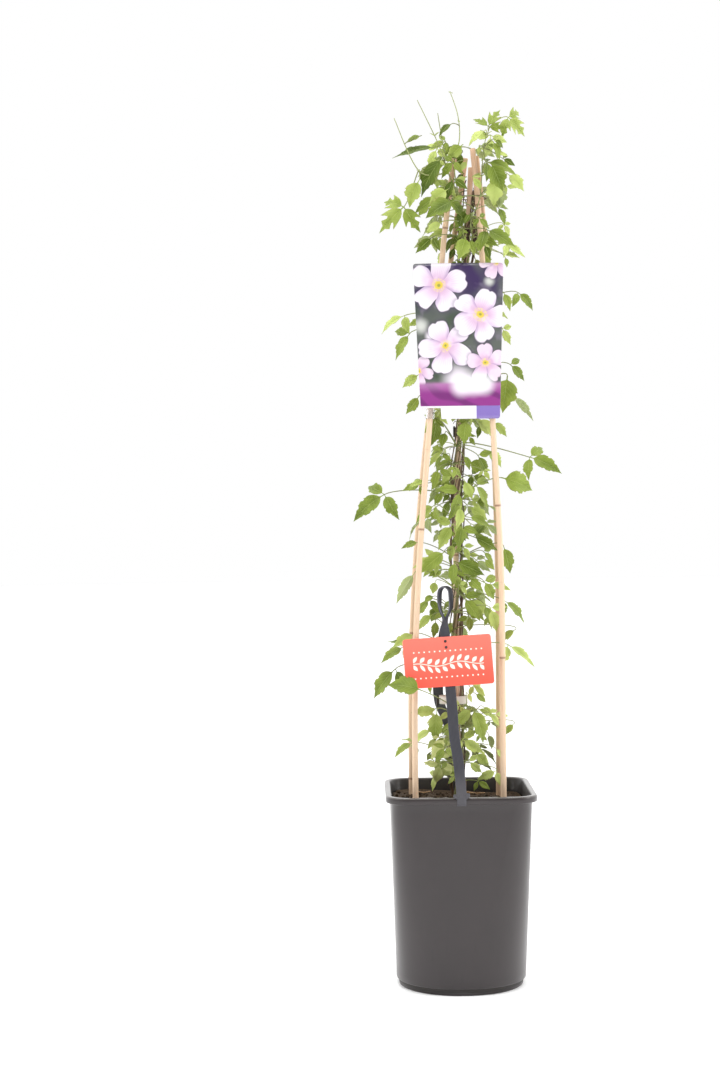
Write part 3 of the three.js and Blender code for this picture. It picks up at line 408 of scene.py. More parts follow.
# %% Floor
floor_finish = Finish("pale_floor", Roughness=0.7, Emission_Strength=0.09, Specular_IOR_Level=0.2)
floor_finish.paint(
    Base_Color=floor_finish.blend(floor_finish.grain(3), shade(246, 246, 246), shade(250, 250, 250)),
    Emission_Color=floor_finish.blend(floor_finish.grain(2), shade(250, 250, 250), shade(255, 255, 255)),
)
FLOOR_RADIUS, FLOOR_CORNERS = 14000, 64
floor_ring = circle(FLOOR_CORNERS) * FLOOR_RADIUS
floor_mesh = bpy.data.meshes.new("studio_floor")
floor_mesh.from_pydata((floor_ring * MM).tolist(), [], [list(range(FLOOR_CORNERS))])
floor_mesh.materials.append(floor_finish.material)
floor = bpy.data.objects.new("studio_floor", floor_mesh)
scene.collection.objects.link(floor)
print("floor is", 2 * FLOOR_RADIUS * MM, "m across")

# %% [markdown]
# ## Sizes of the plant
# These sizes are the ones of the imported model. The finer pieces below follow the same lines and rules,
# so that every leaf and cane lies where its plain form lies.

# %% Sizes and lines
POT_HEIGHT, LIP_HEIGHT, POT_WALL, POT_FLOOR = 268, 9, 2, 2.5
LIP_BOTTOM = POT_HEIGHT - LIP_HEIGHT
FOOT_HALF, TOP_HALF, LIP_HALF = 88.5, 95, 101.5  # half widths of the body, low and high, and of the lip
FOOT_FLAT, TOP_FLAT = 3, 68  # half lengths of its straight sides, low and high
DRAIN_HOLES, DRAIN_RADIUS, DRAIN_CIRCLE = 6, 6, 62
SOIL_TOP = 249
CANE_RADIUS, CANE_TIP_RADIUS, CANE_JOINT_SWELL, JOINT_SPACING = 4.1, 3.7, 1.12, 205
STEM_ORBIT, STEM_TURN_LENGTH, STEM_ROOT_Z = 7.6, 310, 225
STEM_RADIUS, STEM_TIP_RADIUS = 1.9, 1.1

CANES = {
    "cane_centre": [
        (0, 0, 110), (-1, 0, 519), (4, 0, 715), (13, 0, 880), (21, 0, 1027), (26, -1, 1118),
    ],
    "cane_front_left": [
        (-60, -57, 115), (-61, -56, 377), (-53, -50, 570), (-35, -32, 774), (-14.5, -15, 1001),
        (3, -7, 1129),
    ],
    "cane_front_right": [
        (57, -57, 115), (58, -54, 400), (58, -48, 570), (51, -33, 745), (38, -16, 1013),
        (28, -11.5, 1142),
    ],
    "cane_back_left": [
        (-63, 57, 112), (-63, 55, 380), (-55, 48, 570), (-33, 30, 790), (1, 12, 1013), (19, 7, 1132),
    ],
    "cane_back_right": [
        (58, 58, 116), (60, 55, 400), (60, 47, 570), (55, 32, 760), (45, 12, 1013), (34, 7, 1135),
    ],
}


def smooth_line(rows, steps):
    """A smooth line through the rows, with the same number of steps between each two."""
    points = np.array(rows, float)
    line = []
    for i in range(len(points) - 1):
        before, after = points[max(i - 1, 0)], points[min(i + 2, len(points) - 1)]
        for t in np.arange(steps) / steps:
            line.append(
                before * (-0.5 * t + t**2 - 0.5 * t**3)
                + points[i] * (1 - 2.5 * t**2 + 1.5 * t**3)
                + points[i + 1] * (0.5 * t + 2 * t**2 - 1.5 * t**3)
                + after * (-0.5 * t**2 + 0.5 * t**3)
            )
    return np.array(line + [points[-1]])


def at_height(line, z):
    """The point of a rising line at one height."""
    i = min(int(np.searchsorted(line[1:, 2], z)), len(line) - 2)
    t = (z - line[i][2]) / (line[i + 1][2] - line[i][2])
    return mix(line[i], line[i + 1], t)


def make_draw(seed):
    """A small seeded number maker: the same seed always draws the same plant."""
    state = seed

    def draw(low, high):
        nonlocal state
        state = state * 16807 % 2147483647
        return low + (high - low) * state / 2147483647

    return draw


cane_lines = {name: smooth_line(rows, 8) for name, rows in CANES.items()}
centre_cane = cane_lines["cane_centre"]
print("centre cane is", round(float(np.linalg.norm(np.diff(centre_cane, axis=0), axis=1).sum())), "mm long")

# %% [markdown]
# ## Pot
# The real pot is injection moulded polypropylene: a rounded-square lip that turns into a round foot.
# One outline rule makes both: straight sides of half length `flat`, joined by quarter rounds. Going up,
# the flats grow. The floor has drain holes, so it is filled between its rings and the holes' walls.

# %% Pot form
CORNER_STEPS = 22


def square_round(half, flat, z, corners=CORNER_STEPS):
    angles = (np.arange(4)[:, None] + np.linspace(0, 1, corners + 1)) * math.pi / 2
    signs = np.array([[1, 1], [-1, 1], [-1, -1], [1, -1]])
    x = signs[:, :1] * flat + (half - flat) * np.cos(angles)
    y = signs[:, 1:] * flat + (half - flat) * np.sin(angles)
    return np.stack([x.ravel(), y.ravel(), np.full(x.size, float(z))], -1)


def pot_half(z):
    return mix(FOOT_HALF, TOP_HALF, z / LIP_BOTTOM)


def pot_flat(z):
    return mix(FOOT_FLAT, TOP_FLAT, min(z / LIP_BOTTOM, 1) ** 0.8)


def pot_rows():
    """Half width, flat and height of every ring: up the outside, then down the inside."""
    outside = [(84.4, 3, 0), (85.0, 3, 0.5), (85.4, 3, 1.2), (85.9, 3, 7.6), (86.6, 4, 8.6)]
    outside += [(88.0, pot_flat(10), 9.6)]
    outside += [(pot_half(z), pot_flat(z), z) for z in (11, *np.linspace(20, LIP_BOTTOM - 2, 22))]
    under_lip = [(95.4, 68.4, -0.6), (96.4, 69.2, 0), (100.4, 70, 0), (101.2, 70, 0.4), (LIP_HALF, 70, 1.2)]
    outside += [(half, flat, LIP_BOTTOM + rise) for half, flat, rise in under_lip]
    lip_top = [(101.4, 70, 2.4), (101.2, 70, 1.4), (100.6, 70, 0.5), (99.6, 70, 0), (95.6, 68.4, 0)]
    outside += [(half, flat, POT_HEIGHT - drop) for half, flat, drop in lip_top + [(94.8, 68, 0.5)]]
    inside = [(pot_half(z) - POT_WALL, pot_flat(z), z) for z in np.linspace(POT_HEIGHT - 2, 8, 14)]
    inside += [(pot_half(4) - POT_WALL - 1.2, pot_flat(4), 4)]
    inside += [(pot_half(2.5) - 5, pot_flat(2.5), POT_FLOOR)]
    return outside, inside


def fill_flat(piece, heights):
    """Fills the flat openings of a mesh at the given heights, and leaves holes as holes."""
    body = bmesh.new()
    body.from_mesh(piece.data)
    bmesh.ops.remove_doubles(body, verts=body.verts, dist=1e-7)
    for z in heights:
        level = {v for v in body.verts if abs(v.co.z - z * MM) < 1e-6}
        edges = [e for e in body.edges if e.is_boundary and level.issuperset(e.verts)]
        bmesh.ops.triangle_fill(body, edges=edges, use_beauty=True)
    bmesh.ops.recalc_face_normals(body, faces=body.faces)
    open_edges = sum(e.is_boundary for e in body.edges)
    body.to_mesh(piece.data)
    body.free()
    print(f"{piece.name}: {open_edges} open edges left")


# %% [markdown]
# The finish is a dark brown-black plastic, a little dusty. Its broad pale sheen near both sides comes
# from the large lights, through a middling roughness. Faint scuffs run along it. The top edge of the lip
# is painted paler, a painted highlight, and the inside wall is painted darker, as painted shade.

# %% Pot finish
pot_finish = Finish("pot_plastic", Coat_Weight=0.2, Coat_Roughness=0.1, Specular_IOR_Level=0.5)
wall = pot_finish.mark("wall")
height, inner = wall.part("X"), wall.part("Y")
dust = pot_finish.grain(26, 3.0, (1, 1, 0.6))
scuffs = pot_finish.rise(pot_finish.grain(120, 3.0, (1, 1, 0.12)), 0.6, 0.74)
low_scuffs = scuffs * pot_finish.rise(height, 130, 20)
# Painted highlight: the top edge of the lip is painted paler.
lip_highlight = pot_finish.rise(height, POT_HEIGHT - 3, POT_HEIGHT - 0.5)
pot_colour = pot_finish.overlay(
    pot_finish.blend(dust, shade(32, 24, 25), shade(45, 37, 38)),
    (lip_highlight * 0.35, shade(96, 90, 84)),
    (low_scuffs * 0.4, shade(24, 20, 21)),
    # Painted shade: the inside wall is painted much darker, as the shade inside the pot.
    (inner, pot_finish.blend(dust, shade(18, 14, 12), shade(34, 26, 20))),
)
pot_finish.paint(Base_Color=pot_colour, Roughness=0.3 + dust * 0.1 + inner * 0.3)
pot_finish.emboss(pot_finish.grain(220, 2.0), 0.03)

# %% Pot
outside, inside = pot_rows()
rings = np.array([square_round(*row) for row in outside + inside])
points, faces = skin(rings)
is_inner = np.repeat(np.arange(len(rings)) >= len(outside), rings.shape[1])
marks = np.column_stack([points[:, 2], is_inner, np.zeros(len(points))])
pot_clump = one((points, faces[:-2]), wall=marks)
for k in range(DRAIN_HOLES):
    way = (k + 0.5) * 2 * math.pi / DRAIN_HOLES
    centre = DRAIN_CIRCLE * np.array([math.cos(way), math.sin(way), 0])
    rim = centre + DRAIN_RADIUS * circle(32)
    points, faces = skin(np.array([rim, rim + UP * POT_FLOOR]))
    pot_clump.add((points, faces[:-2]), wall=(0, 0, 0))
pot = make_piece("pot_shell", pot_clump, pot_finish, "pot_plastic", "pot")
fill_flat(pot, (0, POT_FLOOR))
for polygon in pot.data.polygons:
    polygon.use_smooth = abs(polygon.normal.z) < 0.999

# %% [markdown]
# ## Compost
# Peaty potting soil is dark, moist and crumbly. Its surface here is a fine net of points, raised by
# waves for the heaps and by noise for the lumps. Loose crumbs lie on it.

# %% Soil surface and finish
def soil_height(x, y):
    swell = 2.2 * np.sin(0.09 * x + 1) * np.cos(0.08 * y) + 1.1 * np.sin(0.23 * x + 0.17 * y)
    return SOIL_TOP - 0.04 * x + swell


def lumps(x, y):
    coarse = noise.noise(Vector((x * 0.11, y * 0.11, 3.1)))
    fine = noise.noise(Vector((x * 0.33, y * 0.33, 7.7)))
    return 2.4 * coarse + 1.5 * fine


soil_finish = Finish("moist_compost", Roughness=0.93, Specular_IOR_Level=0.25)
clods = soil_finish.grain(260, 6.0)
fibres = soil_finish.rise(soil_finish.grain(420, 3.0, (0.2, 1, 1)), 0.62, 0.72)
soil_colour = soil_finish.blend(clods, shade(26, 20, 14), shade(82, 64, 44))
soil_finish.paint(Base_Color=soil_finish.blend(fibres * 0.5, soil_colour, shade(124, 98, 68)))
soil_finish.emboss(clods, 1.4)

# %% Soil bed
BED_GAP = 0.8  # kept between the soil and the pot
soil_rings = []
for z in (POT_FLOOR + 0.4, 70, 150, SOIL_TOP - 6):
    inset = POT_WALL + BED_GAP + (3.4 if z < 10 else 0)
    soil_rings.append(square_round(pot_half(z) - inset, pot_flat(z), z, 30))
edge = soil_rings[-1]
for share in np.concatenate([[0.985], np.linspace(0.96, 0.02, 46)]):
    ring = edge * share
    rough = np.array([lumps(x, y) for x, y in ring[:, :2]])
    ring[:, 2] = soil_height(ring[:, 0], ring[:, 1]) + rough * min(1, (1 - share) * 9)
    soil_rings.append(ring)
soil_clump = one(skin(np.array(soil_rings)))
print("the soil's surface has", len(soil_rings), "rings")


# %% Crumbs
def crumb(draw, size):
    """A small uneven lump: three rings between two blunt ends."""
    rings = []
    for level, girth in ((-0.9, 0.35), (-0.5, 0.85), (0.05, 1.0), (0.6, 0.75), (0.95, 0.3)):
        radii = np.array([size * girth * draw(0.75, 1.2) for _ in range(CRUMB_SIDES)])
        rings.append(circle(CRUMB_SIDES) * radii[:, None] + UP * (level * size * 0.8))
    turn = Matrix.Rotation(draw(0, 6.28), 3, "Z") @ Matrix.Rotation(draw(0, 3.1), 3, "X")
    points, faces = skin(np.array(rings))
    return points @ np.array(turn).T, faces


CRUMB_SIDES, BODIES_IN_BED = 7, 420
draw = make_draw(5)
while len(soil_clump.points) < BODIES_IN_BED:
    x, y = draw(-88, 88), draw(-88, 88)
    if math.hypot(max(abs(x) - 60, 0), max(abs(y) - 60, 0)) < 26:
        size = draw(0.7, 2.6)
        points, faces = crumb(draw, size)
        centre = np.array([x, y, soil_height(x, y) + lumps(x, y) + size * 0.3])
        soil_clump.add((points + centre, faces))
make_piece("compost_bed", soil_clump, soil_finish, "compost", "soil")

# %% [markdown]
# Twigs and a dry leaf lie on the soil: old, dead plant matter, much paler than the moist crumbs. A twig
# is a tube through three points, and the leaf is a curled sheet.

# %% Litter on the soil
litter_finish = Finish("dry_litter", Roughness=0.85)
litter_grain = litter_finish.grain(500, 4.0, (1, 1, 3))
litter_finish.paint(Base_Color=litter_finish.blend(litter_grain, shade(150, 112, 78), shade(212, 176, 134)))
litter_finish.emboss(litter_grain, 0.3)
litter = Clump()
TWIGS = [  # x and y of both ends, and the height of the ends above the soil
    (-42, -76, -31, -62, 2, 12), (22, -78, 35, -72, 3, 5), (-10, -70, 12, -60, 1, 3),
    (40, -52, 62, -66, 1, 4), (-74, -30, -58, -50, 2, 3), (-20, -48, -36, -40, 1, 4),
    (14, 62, 40, 70, 2, 3), (-60, 64, -38, 50, 2, 4),
]
for ax, ay, bx, by, a_rise, b_rise in TWIGS:
    ends = [
        (ax, ay, soil_height(ax, ay) + a_rise),
        ((ax + bx) / 2 + 1.5, (ay + by) / 2, soil_height((ax + bx) / 2, (ay + by) / 2) + 3),
        (bx, by, soil_height(bx, by) + b_rise),
    ]
    line = smooth_line(ends, 5)
    litter.add(tube(line, np.linspace(1.0, 0.6, len(line)), 8))
t, s = np.meshgrid(np.linspace(0, 1, 12), np.linspace(-1, 1, 7), indexing="ij")
wide = 5.2 * np.sin(math.pi * np.clip(t, 0.02, 0.98)) ** 0.8
leaf_x, leaf_y = -36 + 17 * t, -74 + s * wide * 0.8
curl = soil_height(leaf_x, leaf_y) + 3.5 + 3 * s**2 + 1.5 * np.sin(5 * t)
dry = np.stack([leaf_x, leaf_y, curl], -1)
litter.add(sheet(dry + UP * 0.2, dry - UP * 0.2))
make_piece("soil_litter", litter, litter_finish, "compost", "soil")

# %% [markdown]
# ## Bamboo canes
# A cane is a grass stem: a hollow tube with a solid wall at each joint. Outside, a joint is a low
# ridge with a thin scar under it. The wall is glossy and straw coloured, with fine fibres along it.

# %% Cane finish
cane_finish = Finish("bamboo", Coat_Weight=0.12, Coat_Roughness=0.35)
along = cane_finish.mark("cane")
from_joint, up_share, own_tone = along.part("X"), along.part("Y"), along.part("Z")
fibre = cane_finish.grain(900, 3.0, (1, 1, 0.03))
blotch = cane_finish.grain(26, 4.0, (1, 1, 0.4))
scar = cane_finish.rise(abs(from_joint + 2.2), 2.2, 0.4)
cane_colour = cane_finish.overlay(
    cane_finish.blend(blotch, shade(206, 173, 142), shade(230, 205, 176)),
    (cane_finish.rise(own_tone + blotch * 0.5, 0.5, 1.4), shade(196, 152, 116)),
    (cane_finish.rise(up_share, 0.86, 1.0) * 0.6, shade(206, 160, 132)),
    (cane_finish.rise(fibre, 0.55, 0.8) * 0.35, shade(176, 128, 84)),
    (scar * 0.75, shade(122, 78, 52)),
)
cane_finish.paint(Base_Color=cane_colour, Roughness=0.42 + fibre * 0.2)
cane_finish.emboss(fibre, 0.25)


# %% Canes
CANE_SIDES = 24
NEAR_JOINT = (-7, -4.4, -3.2, -2.4, -1.4, -0.4, 0.8, 2.4, 4.6)  # heights of rings round a joint


def joint_heights(line, order):
    foot, tip = line[0][2], line[-1][2]
    return np.arange(foot + 70 + 31 * order, tip - 25, JOINT_SPACING)


def cane_ring(line, z, radius, sides=CANE_SIDES):
    """A ring square to the cane at one height."""
    slope = unit(at_height(line, z + 3) - at_height(line, z - 3))
    across = unit(np.array([1.0, 0, 0]) - slope * slope[0])
    return ring_round(at_height(line, z), radius, slope, across, sides)


for order, (name, line) in enumerate(cane_lines.items()):
    foot, tip = line[0][2], line[-1][2]
    joints = joint_heights(line, order)
    heights = list(np.arange(foot, tip - 1, 9))
    for z in joints:
        heights = [h for h in heights if abs(h - z) > 8]
        heights += [z + off for off in NEAR_JOINT]
    rings, marks = [], []
    for z in sorted(heights) + [tip - 0.4]:
        off = z - min(joints, key=lambda joint: abs(joint - z))
        swell = 1 + 0.1 * math.exp(-((off / 2.6) ** 2)) - 0.05 * math.exp(-(((off + 2.6) / 0.7) ** 2))
        rings.append(cane_ring(line, z, mix(CANE_RADIUS, CANE_TIP_RADIUS, z / tip) * swell))
        marks.append((off, z / tip, 0.17 * order))
    for z, radius in ((tip, CANE_TIP_RADIUS - 0.4), (tip, 1.9), (tip - 5, 1.6)):
        rings.append(cane_ring(line, z, radius))
        marks.append((0, 1, 0.5))
    marks = np.repeat(np.array(marks), CANE_SIDES, axis=0)
    make_piece("bamboo_" + name, one(skin(np.array(rings)), cane=marks), cane_finish, "bamboo", name)

# %% [markdown]
# ## Vines
# Each vine rises from the soil and winds round the centre cane, and each starts on another side of it.
# The highest one branches into shoots above the canes. A branch is a smooth line through a few points
# that were read off the picture.

# %% Vine lines
VINES = {
    "clematis_lower": {"start": 200, "top": 424, "seed": 11, "branches": []},
    "clematis_middle": {"start": 290, "top": 712, "seed": 23, "branches": []},
    "clematis_upper": {"start": 20, "top": 965, "seed": 37, "branches": []},
    "clematis_top": {
        "start": 110,
        "top": 1000,
        "seed": 53,
        "branches": [
            [(26, -12, 1020), (24, -24, 1042), (36, -29, 1072), (42, -27, 1138), (49, -22, 1164)],
            [
                (11, -13, 1040), (8, -14, 1077), (2, -19, 1120), (10, -17, 1155), (8, -14, 1188),
                (-2, -12, 1220),
            ],
            [(8, -14, 1077), (-6, -22, 1108), (-18, -24, 1144), (-47, -20, 1207)],
            [(-6, -22, 1108), (-46, -32, 1109), (-79, -30, 1181)],
            [(2, -19, 1120), (-10, -14, 1137), (-19, -10, 1191)],
        ],
    },
}


def wound_line(start, top, step):
    count = math.ceil((top - STEM_ROOT_Z) / step)
    line = []
    for z in mix(STEM_ROOT_Z, top, np.arange(count + 1) / count):
        angle = math.radians(start) + (z - STEM_ROOT_Z) / STEM_TURN_LENGTH * 2 * math.pi
        axis = at_height(centre_cane, z)
        orbit = STEM_ORBIT * (1.25 if z < SOIL_TOP + 30 else 1)
        line.append((axis[0] + orbit * math.cos(angle), axis[1] + orbit * math.sin(angle), z))
    return np.array(line)


def branch_lines(vine, steps):
    """The shoots of a vine. The first two grow on from the tip of its wound stem."""
    tip = [tuple(vine["main"][-1])]
    return [smooth_line((tip if i < 2 else []) + rows, steps) for i, rows in enumerate(vine["branches"])]


for vine in VINES.values():
    vine["main"] = wound_line(vine["start"], vine["top"], 26)
    vine["lines"] = [vine["main"], *branch_lines(vine, 2)]
print(sum(len(vine["lines"]) for vine in VINES.values()), "stem lines")

# %% [markdown]
# ## Leaf rows
# The leaves were placed one by one from the picture. A row says where the stalk forks, which way the end
# leaflet points, how long it is, what kind of leaf it is, and how its upper face is turned.

# %% Leaf table
KINDS = {  # each leaflet's turn in degrees and share of the length, then the width as a share of length
    "one": ([(0, 1)], 0.46),
    "narrow": ([(0, 1)], 0.3),
    "broad": ([(0, 1)], 0.66),
    "pair": ([(0, 1), (76, 0.74)], 0.44),
    "twin": ([(-76, 0.74), (0, 1)], 0.44),
    "three": ([(-78, 0.71), (0, 1), (77, 0.74)], 0.44),
    "lobed": ([(-74, 0.84), (0, 1), (74, 0.86)], 0.48),
}

LEAVES = {  # fork x, y, z; aim; length; kind; facing (0 the sky, 90 the front, below 0 the back)
    "clematis_lower": [
        (-30, -30, 378, 262, 50, "twin", 62), (-36, -16, 350, 204, 40, "one", 45),
        (-20, -34, 340, 232, 36, "one", 55), (-27, -28, 304, 262, 34, "three", 60),
        (18, -30, 380, 300, 54, "twin", 62), (42, -20, 372, 312, 24, "pair", 40),
        (76, -12, 356, 221, 22, "one", 50), (14, -34, 338, 328, 36, "three", 55),
        (12, -42, 308, 322, 26, "pair", 60), (50, -30, 294, 204, 30, "pair", 66),
        (-62, 10, 330, 196, 34, "three", 35), (10, 30, 372, 300, 40, "twin", -35),
        (-22, 36, 342, 220, 42, "three", -30), (30, 34, 318, 330, 36, "three", -25),
        (-52, -86, 410, 158, 48, "broad", 66),
    ],
    "clematis_middle": [
        (-86, -24, 434, 226, 56, "pair", 50), (-76, -10, 464, 202, 40, "three", 48),
        (-62, -18, 482, 200, 38, "one", 42), (-38, -14, 528, 225, 34, "pair", 60),
        (82, 8, 486, 214, 26, "one", 55), (8, -30, 530, 306, 40, "pair", 62),
        (35, -18, 520, 292, 36, "one", 55), (66, 6, 524, 328, 42, "twin", 38),
        (36, -26, 552, 302, 34, "pair", 60), (-57, -20, 566, 230, 54, "narrow", -40),
        (20, -32, 558, 318, 28, "pair", 55), (-16, -26, 594, 218, 48, "one", 58),
        (6, -34, 580, 338, 46, "twin", 62), (64, -14, 600, 284, 42, "one", 52),
        (38, 12, 592, 314, 24, "pair", 45), (-6, -30, 630, 234, 42, "three", 60),
        (22, -24, 620, 317, 38, "pair", 56), (16, -30, 653, 334, 36, "one", 50),
        (26, -20, 684, 308, 40, "three", 55), (-98, -18, 672, 209, 58, "three", 46),
        (-48, -14, 685, 190, 28, "three", 50), (62, -20, 693, 347, 50, "broad", 50),
        (26, 40, 448, 318, 42, "three", -30), (34, 34, 630, 340, 40, "pair", -30),
        (-34, 32, 640, 205, 42, "three", -35), (4, 44, 560, 262, 40, "three", -45),
        (-34, -26, 508, 215, 32, "one", 60), (-30, -26, 500, 262, 26, "one", 60),
        (22, -35, 606, 338, 40, "pair", 62), (20, -36, 640, 350, 36, "one", 58),
        (44, -32, 516, 290, 38, "pair", 50),
    ],
    "clematis_upper": [
        (-26, -22, 774, 264, 44, "one", 60), (2, -24, 769, 300, 34, "pair", 66),
        (28, -22, 773, 325, 38, "broad", 55), (-19, -24, 730, 220, 28, "twin", 52),
        (10, -28, 724, 306, 24, "one", 60), (30, -18, 724, 300, 32, "pair", 58),
        (106, -10, 720, 344, 50, "three", 44), (-66, -14, 917, 200, 42, "pair", 46),
        (-56, -26, 892, 236, 42, "twin", 56), (-50, -4, 806, 236, 32, "one", 52),
        (68, -12, 946, 297, 28, "one", 52), (89, 2, 947, 324, 34, "twin", 36),
        (66, -8, 897, 300, 26, "pair", 50), (72, -14, 832, 264, 52, "broad", 64),
        (80, 6, 806, 320, 46, "narrow", -30), (34, 34, 850, 326, 42, "twin", -35),
        (-4, 34, 905, 250, 40, "three", -40), (44, 28, 935, 340, 36, "pair", -30),
        (68, -16, 464, 330, 48, "twin", 45), (-24, -28, 706, 248, 30, "pair", 58),
        (-42, -24, 690, 188, 24, "pair", 46), (14, -32, 772, 262, 34, "broad", 62),
        (46, -24, 770, 318, 30, "one", 55), (10, -38, 690, 290, 30, "one", 62),
    ],
    "clematis_top": [
        (49, -22, 1170, 62, 32, "lobed", 60), (74, -20, 1185, 318, 38, "lobed", 62),
        (42, -30, 1158, 262, 38, "three", 62), (46, -24, 1122, 350, 46, "twin", 46),
        (62, -12, 1098, 276, 46, "one", -50), (59, -20, 1062, 300, 28, "pair", 50),
        (44, -28, 1030, 332, 48, "twin", 46), (46, -30, 1008, 296, 22, "one", 55),
        (16, -34, 1020, 254, 34, "broad", 64), (-22, -26, 1142, 184, 62, "narrow", 34),
        (-14, -30, 1128, 230, 62, "one", 56), (-42, -26, 1158, 196, 24, "one", 48),
        (0, -24, 1174, 206, 26, "one", 58), (14, -26, 1145, 220, 28, "broad", 60),
        (-67, -24, 1062, 222, 50, "lobed", 58), (-22, -30, 1074, 206, 38, "pair", 56),
        (-8, -34, 1072, 322, 38, "one", 58), (-16, -32, 1040, 208, 28, "one", 52),
        (-29, -28, 1020, 218, 32, "pair", 56), (2, 26, 1096, 214, 42, "three", -30),
        (44, 24, 1080, 330, 42, "three", -32), (14, 34, 1040, 262, 38, "three", -45),
        (-12, -26, 668, 238, 48, "twin", 62), (14, 40, 492, 300, 44, "three", -35),
        (-52, -16, 606, 186, 26, "one", 36), (-48, -8, 836, 214, 32, "one", 46),
        (-14, 34, 800, 226, 42, "three", -30), (-8, -42, 664, 214, 42, "pair", 62),
        (6, -46, 628, 256, 34, "pair", 64), (-30, -34, 648, 250, 34, "one", 60),
        (0, -48, 1066, 200, 46, "broad", 58), (50, -50, 1116, 292, 42, "broad", 58),
        (44, -38, 1162, 206, 32, "one", 58), (54, -34, 1148, 300, 28, "one", 55),
        (-46, -38, 1096, 238, 40, "broad", 56), (60, -28, 1100, 262, 40, "broad", 50),
    ],
}
print(sum(len(rows) for rows in LEAVES.values()), "leaves")

# %% [markdown]
# ## How a leaf settles
# Leaves must not pass through canes, card, label, strap or each other. So each leaf is laid out in its
# place and tested with a spread of probe points. If it meets something, it turns aside round the cane
# or grows a little higher or lower, and is tested again. The same seeded draws give the same plant.

# %% Sizes of what the leaves stay clear of
CARD_WIDTH, CARD_HEIGHT, CARD_TILT, CARD_LEAN = 119, 67, 3.3, 0.19
CARD_CENTRE = np.array([-15.5, -69.0, 447.0])
LABEL_TOP, LABEL_BOTTOM, LABEL_STEP, LABEL_STEP_X = 985, 773, 788, -20
LABEL_X_TOP, LABEL_X_BOTTOM = (-55.6, 67.7), (-47, 59.6)
PLATE, STRAP_WIDTH, STRAP_THICKNESS, GAP = 0.8, 14, 1.2, 0.4
STEM_BAND = {"centre": (-6, 0, 389), "across": 19.5, "deep": 15, "height": 11, "thick": 1}
CLIP_HEIGHT, TIE_HEIGHT = 757, 1077
STEM_CLIP = {"centre": (8, -2, CLIP_HEIGHT), "height": 12, "thick": 1.4}
TOP_TIE = {"centre": (18.5, -0.5, TIE_HEIGHT), "height": 2.6, "thick": 2.6}


def held(line, z, reach):
    """What a ring holds at one height: x and y of its middle, and the ring's distance from that."""
    return (*at_height(line, z)[:2], reach)


clip_reach, tie_reach = GAP + STEM_CLIP["thick"] / 2, GAP + TOP_TIE["thick"] / 2
STEM_CLIP["holds"] = np.array(
    [held(centre_cane, CLIP_HEIGHT, CANE_RADIUS * CANE_JOINT_SWELL + clip_reach)]
    + [held(VINES[name]["main"], CLIP_HEIGHT, STEM_RADIUS + 1 + clip_reach)
       for name in ("clematis_upper", "clematis_top")]
)
TOP_TIE["holds"] = np.array(
    [held(line, TIE_HEIGHT, CANE_TIP_RADIUS * CANE_JOINT_SWELL + 3 * GAP + tie_reach)
     for line in cane_lines.values()]
    + [(8, -14, STEM_TIP_RADIUS + tie_reach)]
)


def card_y(z):
    return CARD_CENTRE[1] + CARD_LEAN * (z - CARD_CENTRE[2])


def label_y(x, z):
    return -39.6 + 0.0665 * (z - LABEL_BOTTOM) + 0.0012 * (x - 6) ** 2


def strap_y(z):
    return card_y(z) + PLATE / 2 + GAP + STRAP_THICKNESS / 2


LIP_FACE = LIP_HALF + GAP + STRAP_THICKNESS / 2
UNDER_LIP = LIP_BOTTOM - GAP - STRAP_THICKNESS / 2
STRAP_ROUTE = [  # centre of the band, width, and its turn from sideways to front-back in degrees
    (-1.3, -96.6, UNDER_LIP, 12, 0), (-1.3, -LIP_FACE, UNDER_LIP, 12, 0),
    (-1.3, -LIP_FACE, POT_HEIGHT - 2, 12, 0), (-1.3, -LIP_FACE, POT_HEIGHT + 1, 22, 0),
    (-1.4, -LIP_FACE + 0.6, POT_HEIGHT + 5, 22, 0), (-1.5, -LIP_FACE + 1, POT_HEIGHT + 6, 13.3, 0),
    (-4.9, -93, 316, STRAP_WIDTH, 0), (-9.5, -86.3, 349, STRAP_WIDTH, 0),
    (-12.6, strap_y(400), 400, STRAP_WIDTH, 0), (-19, strap_y(482), 482, 12.7, 0),
    (-20.2, -57.5, 495, 10, 35), (-20.6, -53.5, 504, 9, 75), (-25.2, -51, 516, 9, 72),
    (-26.4, -50, 530, 10, 66), (-24.8, -49.5, 542, 10, 66), (-18, -49.3, 546, 10, 66),
    (-11.2, -49.5, 542, 10, 66), (-9.8, -50, 530, 10, 66), (-11, -50, 516, 9, 72),
    (-15.8, -48, 505, 9, 75), (-18, -43, 497, 10, 40), (-20, -38, 484, 12.7, 0),
    (-21, -33, 466, STRAP_WIDTH, 0), (-24, -22, 440, STRAP_WIDTH, 0), (-27, 0, 412, STRAP_WIDTH, 0),
    (-24, 36, 382, STRAP_WIDTH, 0), (-14, 70, 356, STRAP_WIDTH, 0), (-7.5, 87, 336, STRAP_WIDTH, 0),
    (-5, 93, 308, STRAP_WIDTH, 0), (-1.5, LIP_FACE - 1, POT_HEIGHT + 6, 13.3, 0),
    (-1.4, LIP_FACE - 0.6, POT_HEIGHT + 5, 22, 0), (-1.3, LIP_FACE, POT_HEIGHT + 1, 22, 0),
    (-1.3, LIP_FACE, POT_HEIGHT - 2, 12, 0), (-1.3, LIP_FACE, UNDER_LIP, 12, 0),
    (-1.3, 96.6, UNDER_LIP, 12, 0),
]
print(len(STRAP_ROUTE), "rows for the strap,", len(STEM_CLIP["holds"]), "things in the clip,",
      len(TOP_TIE["holds"]), "in the tie")


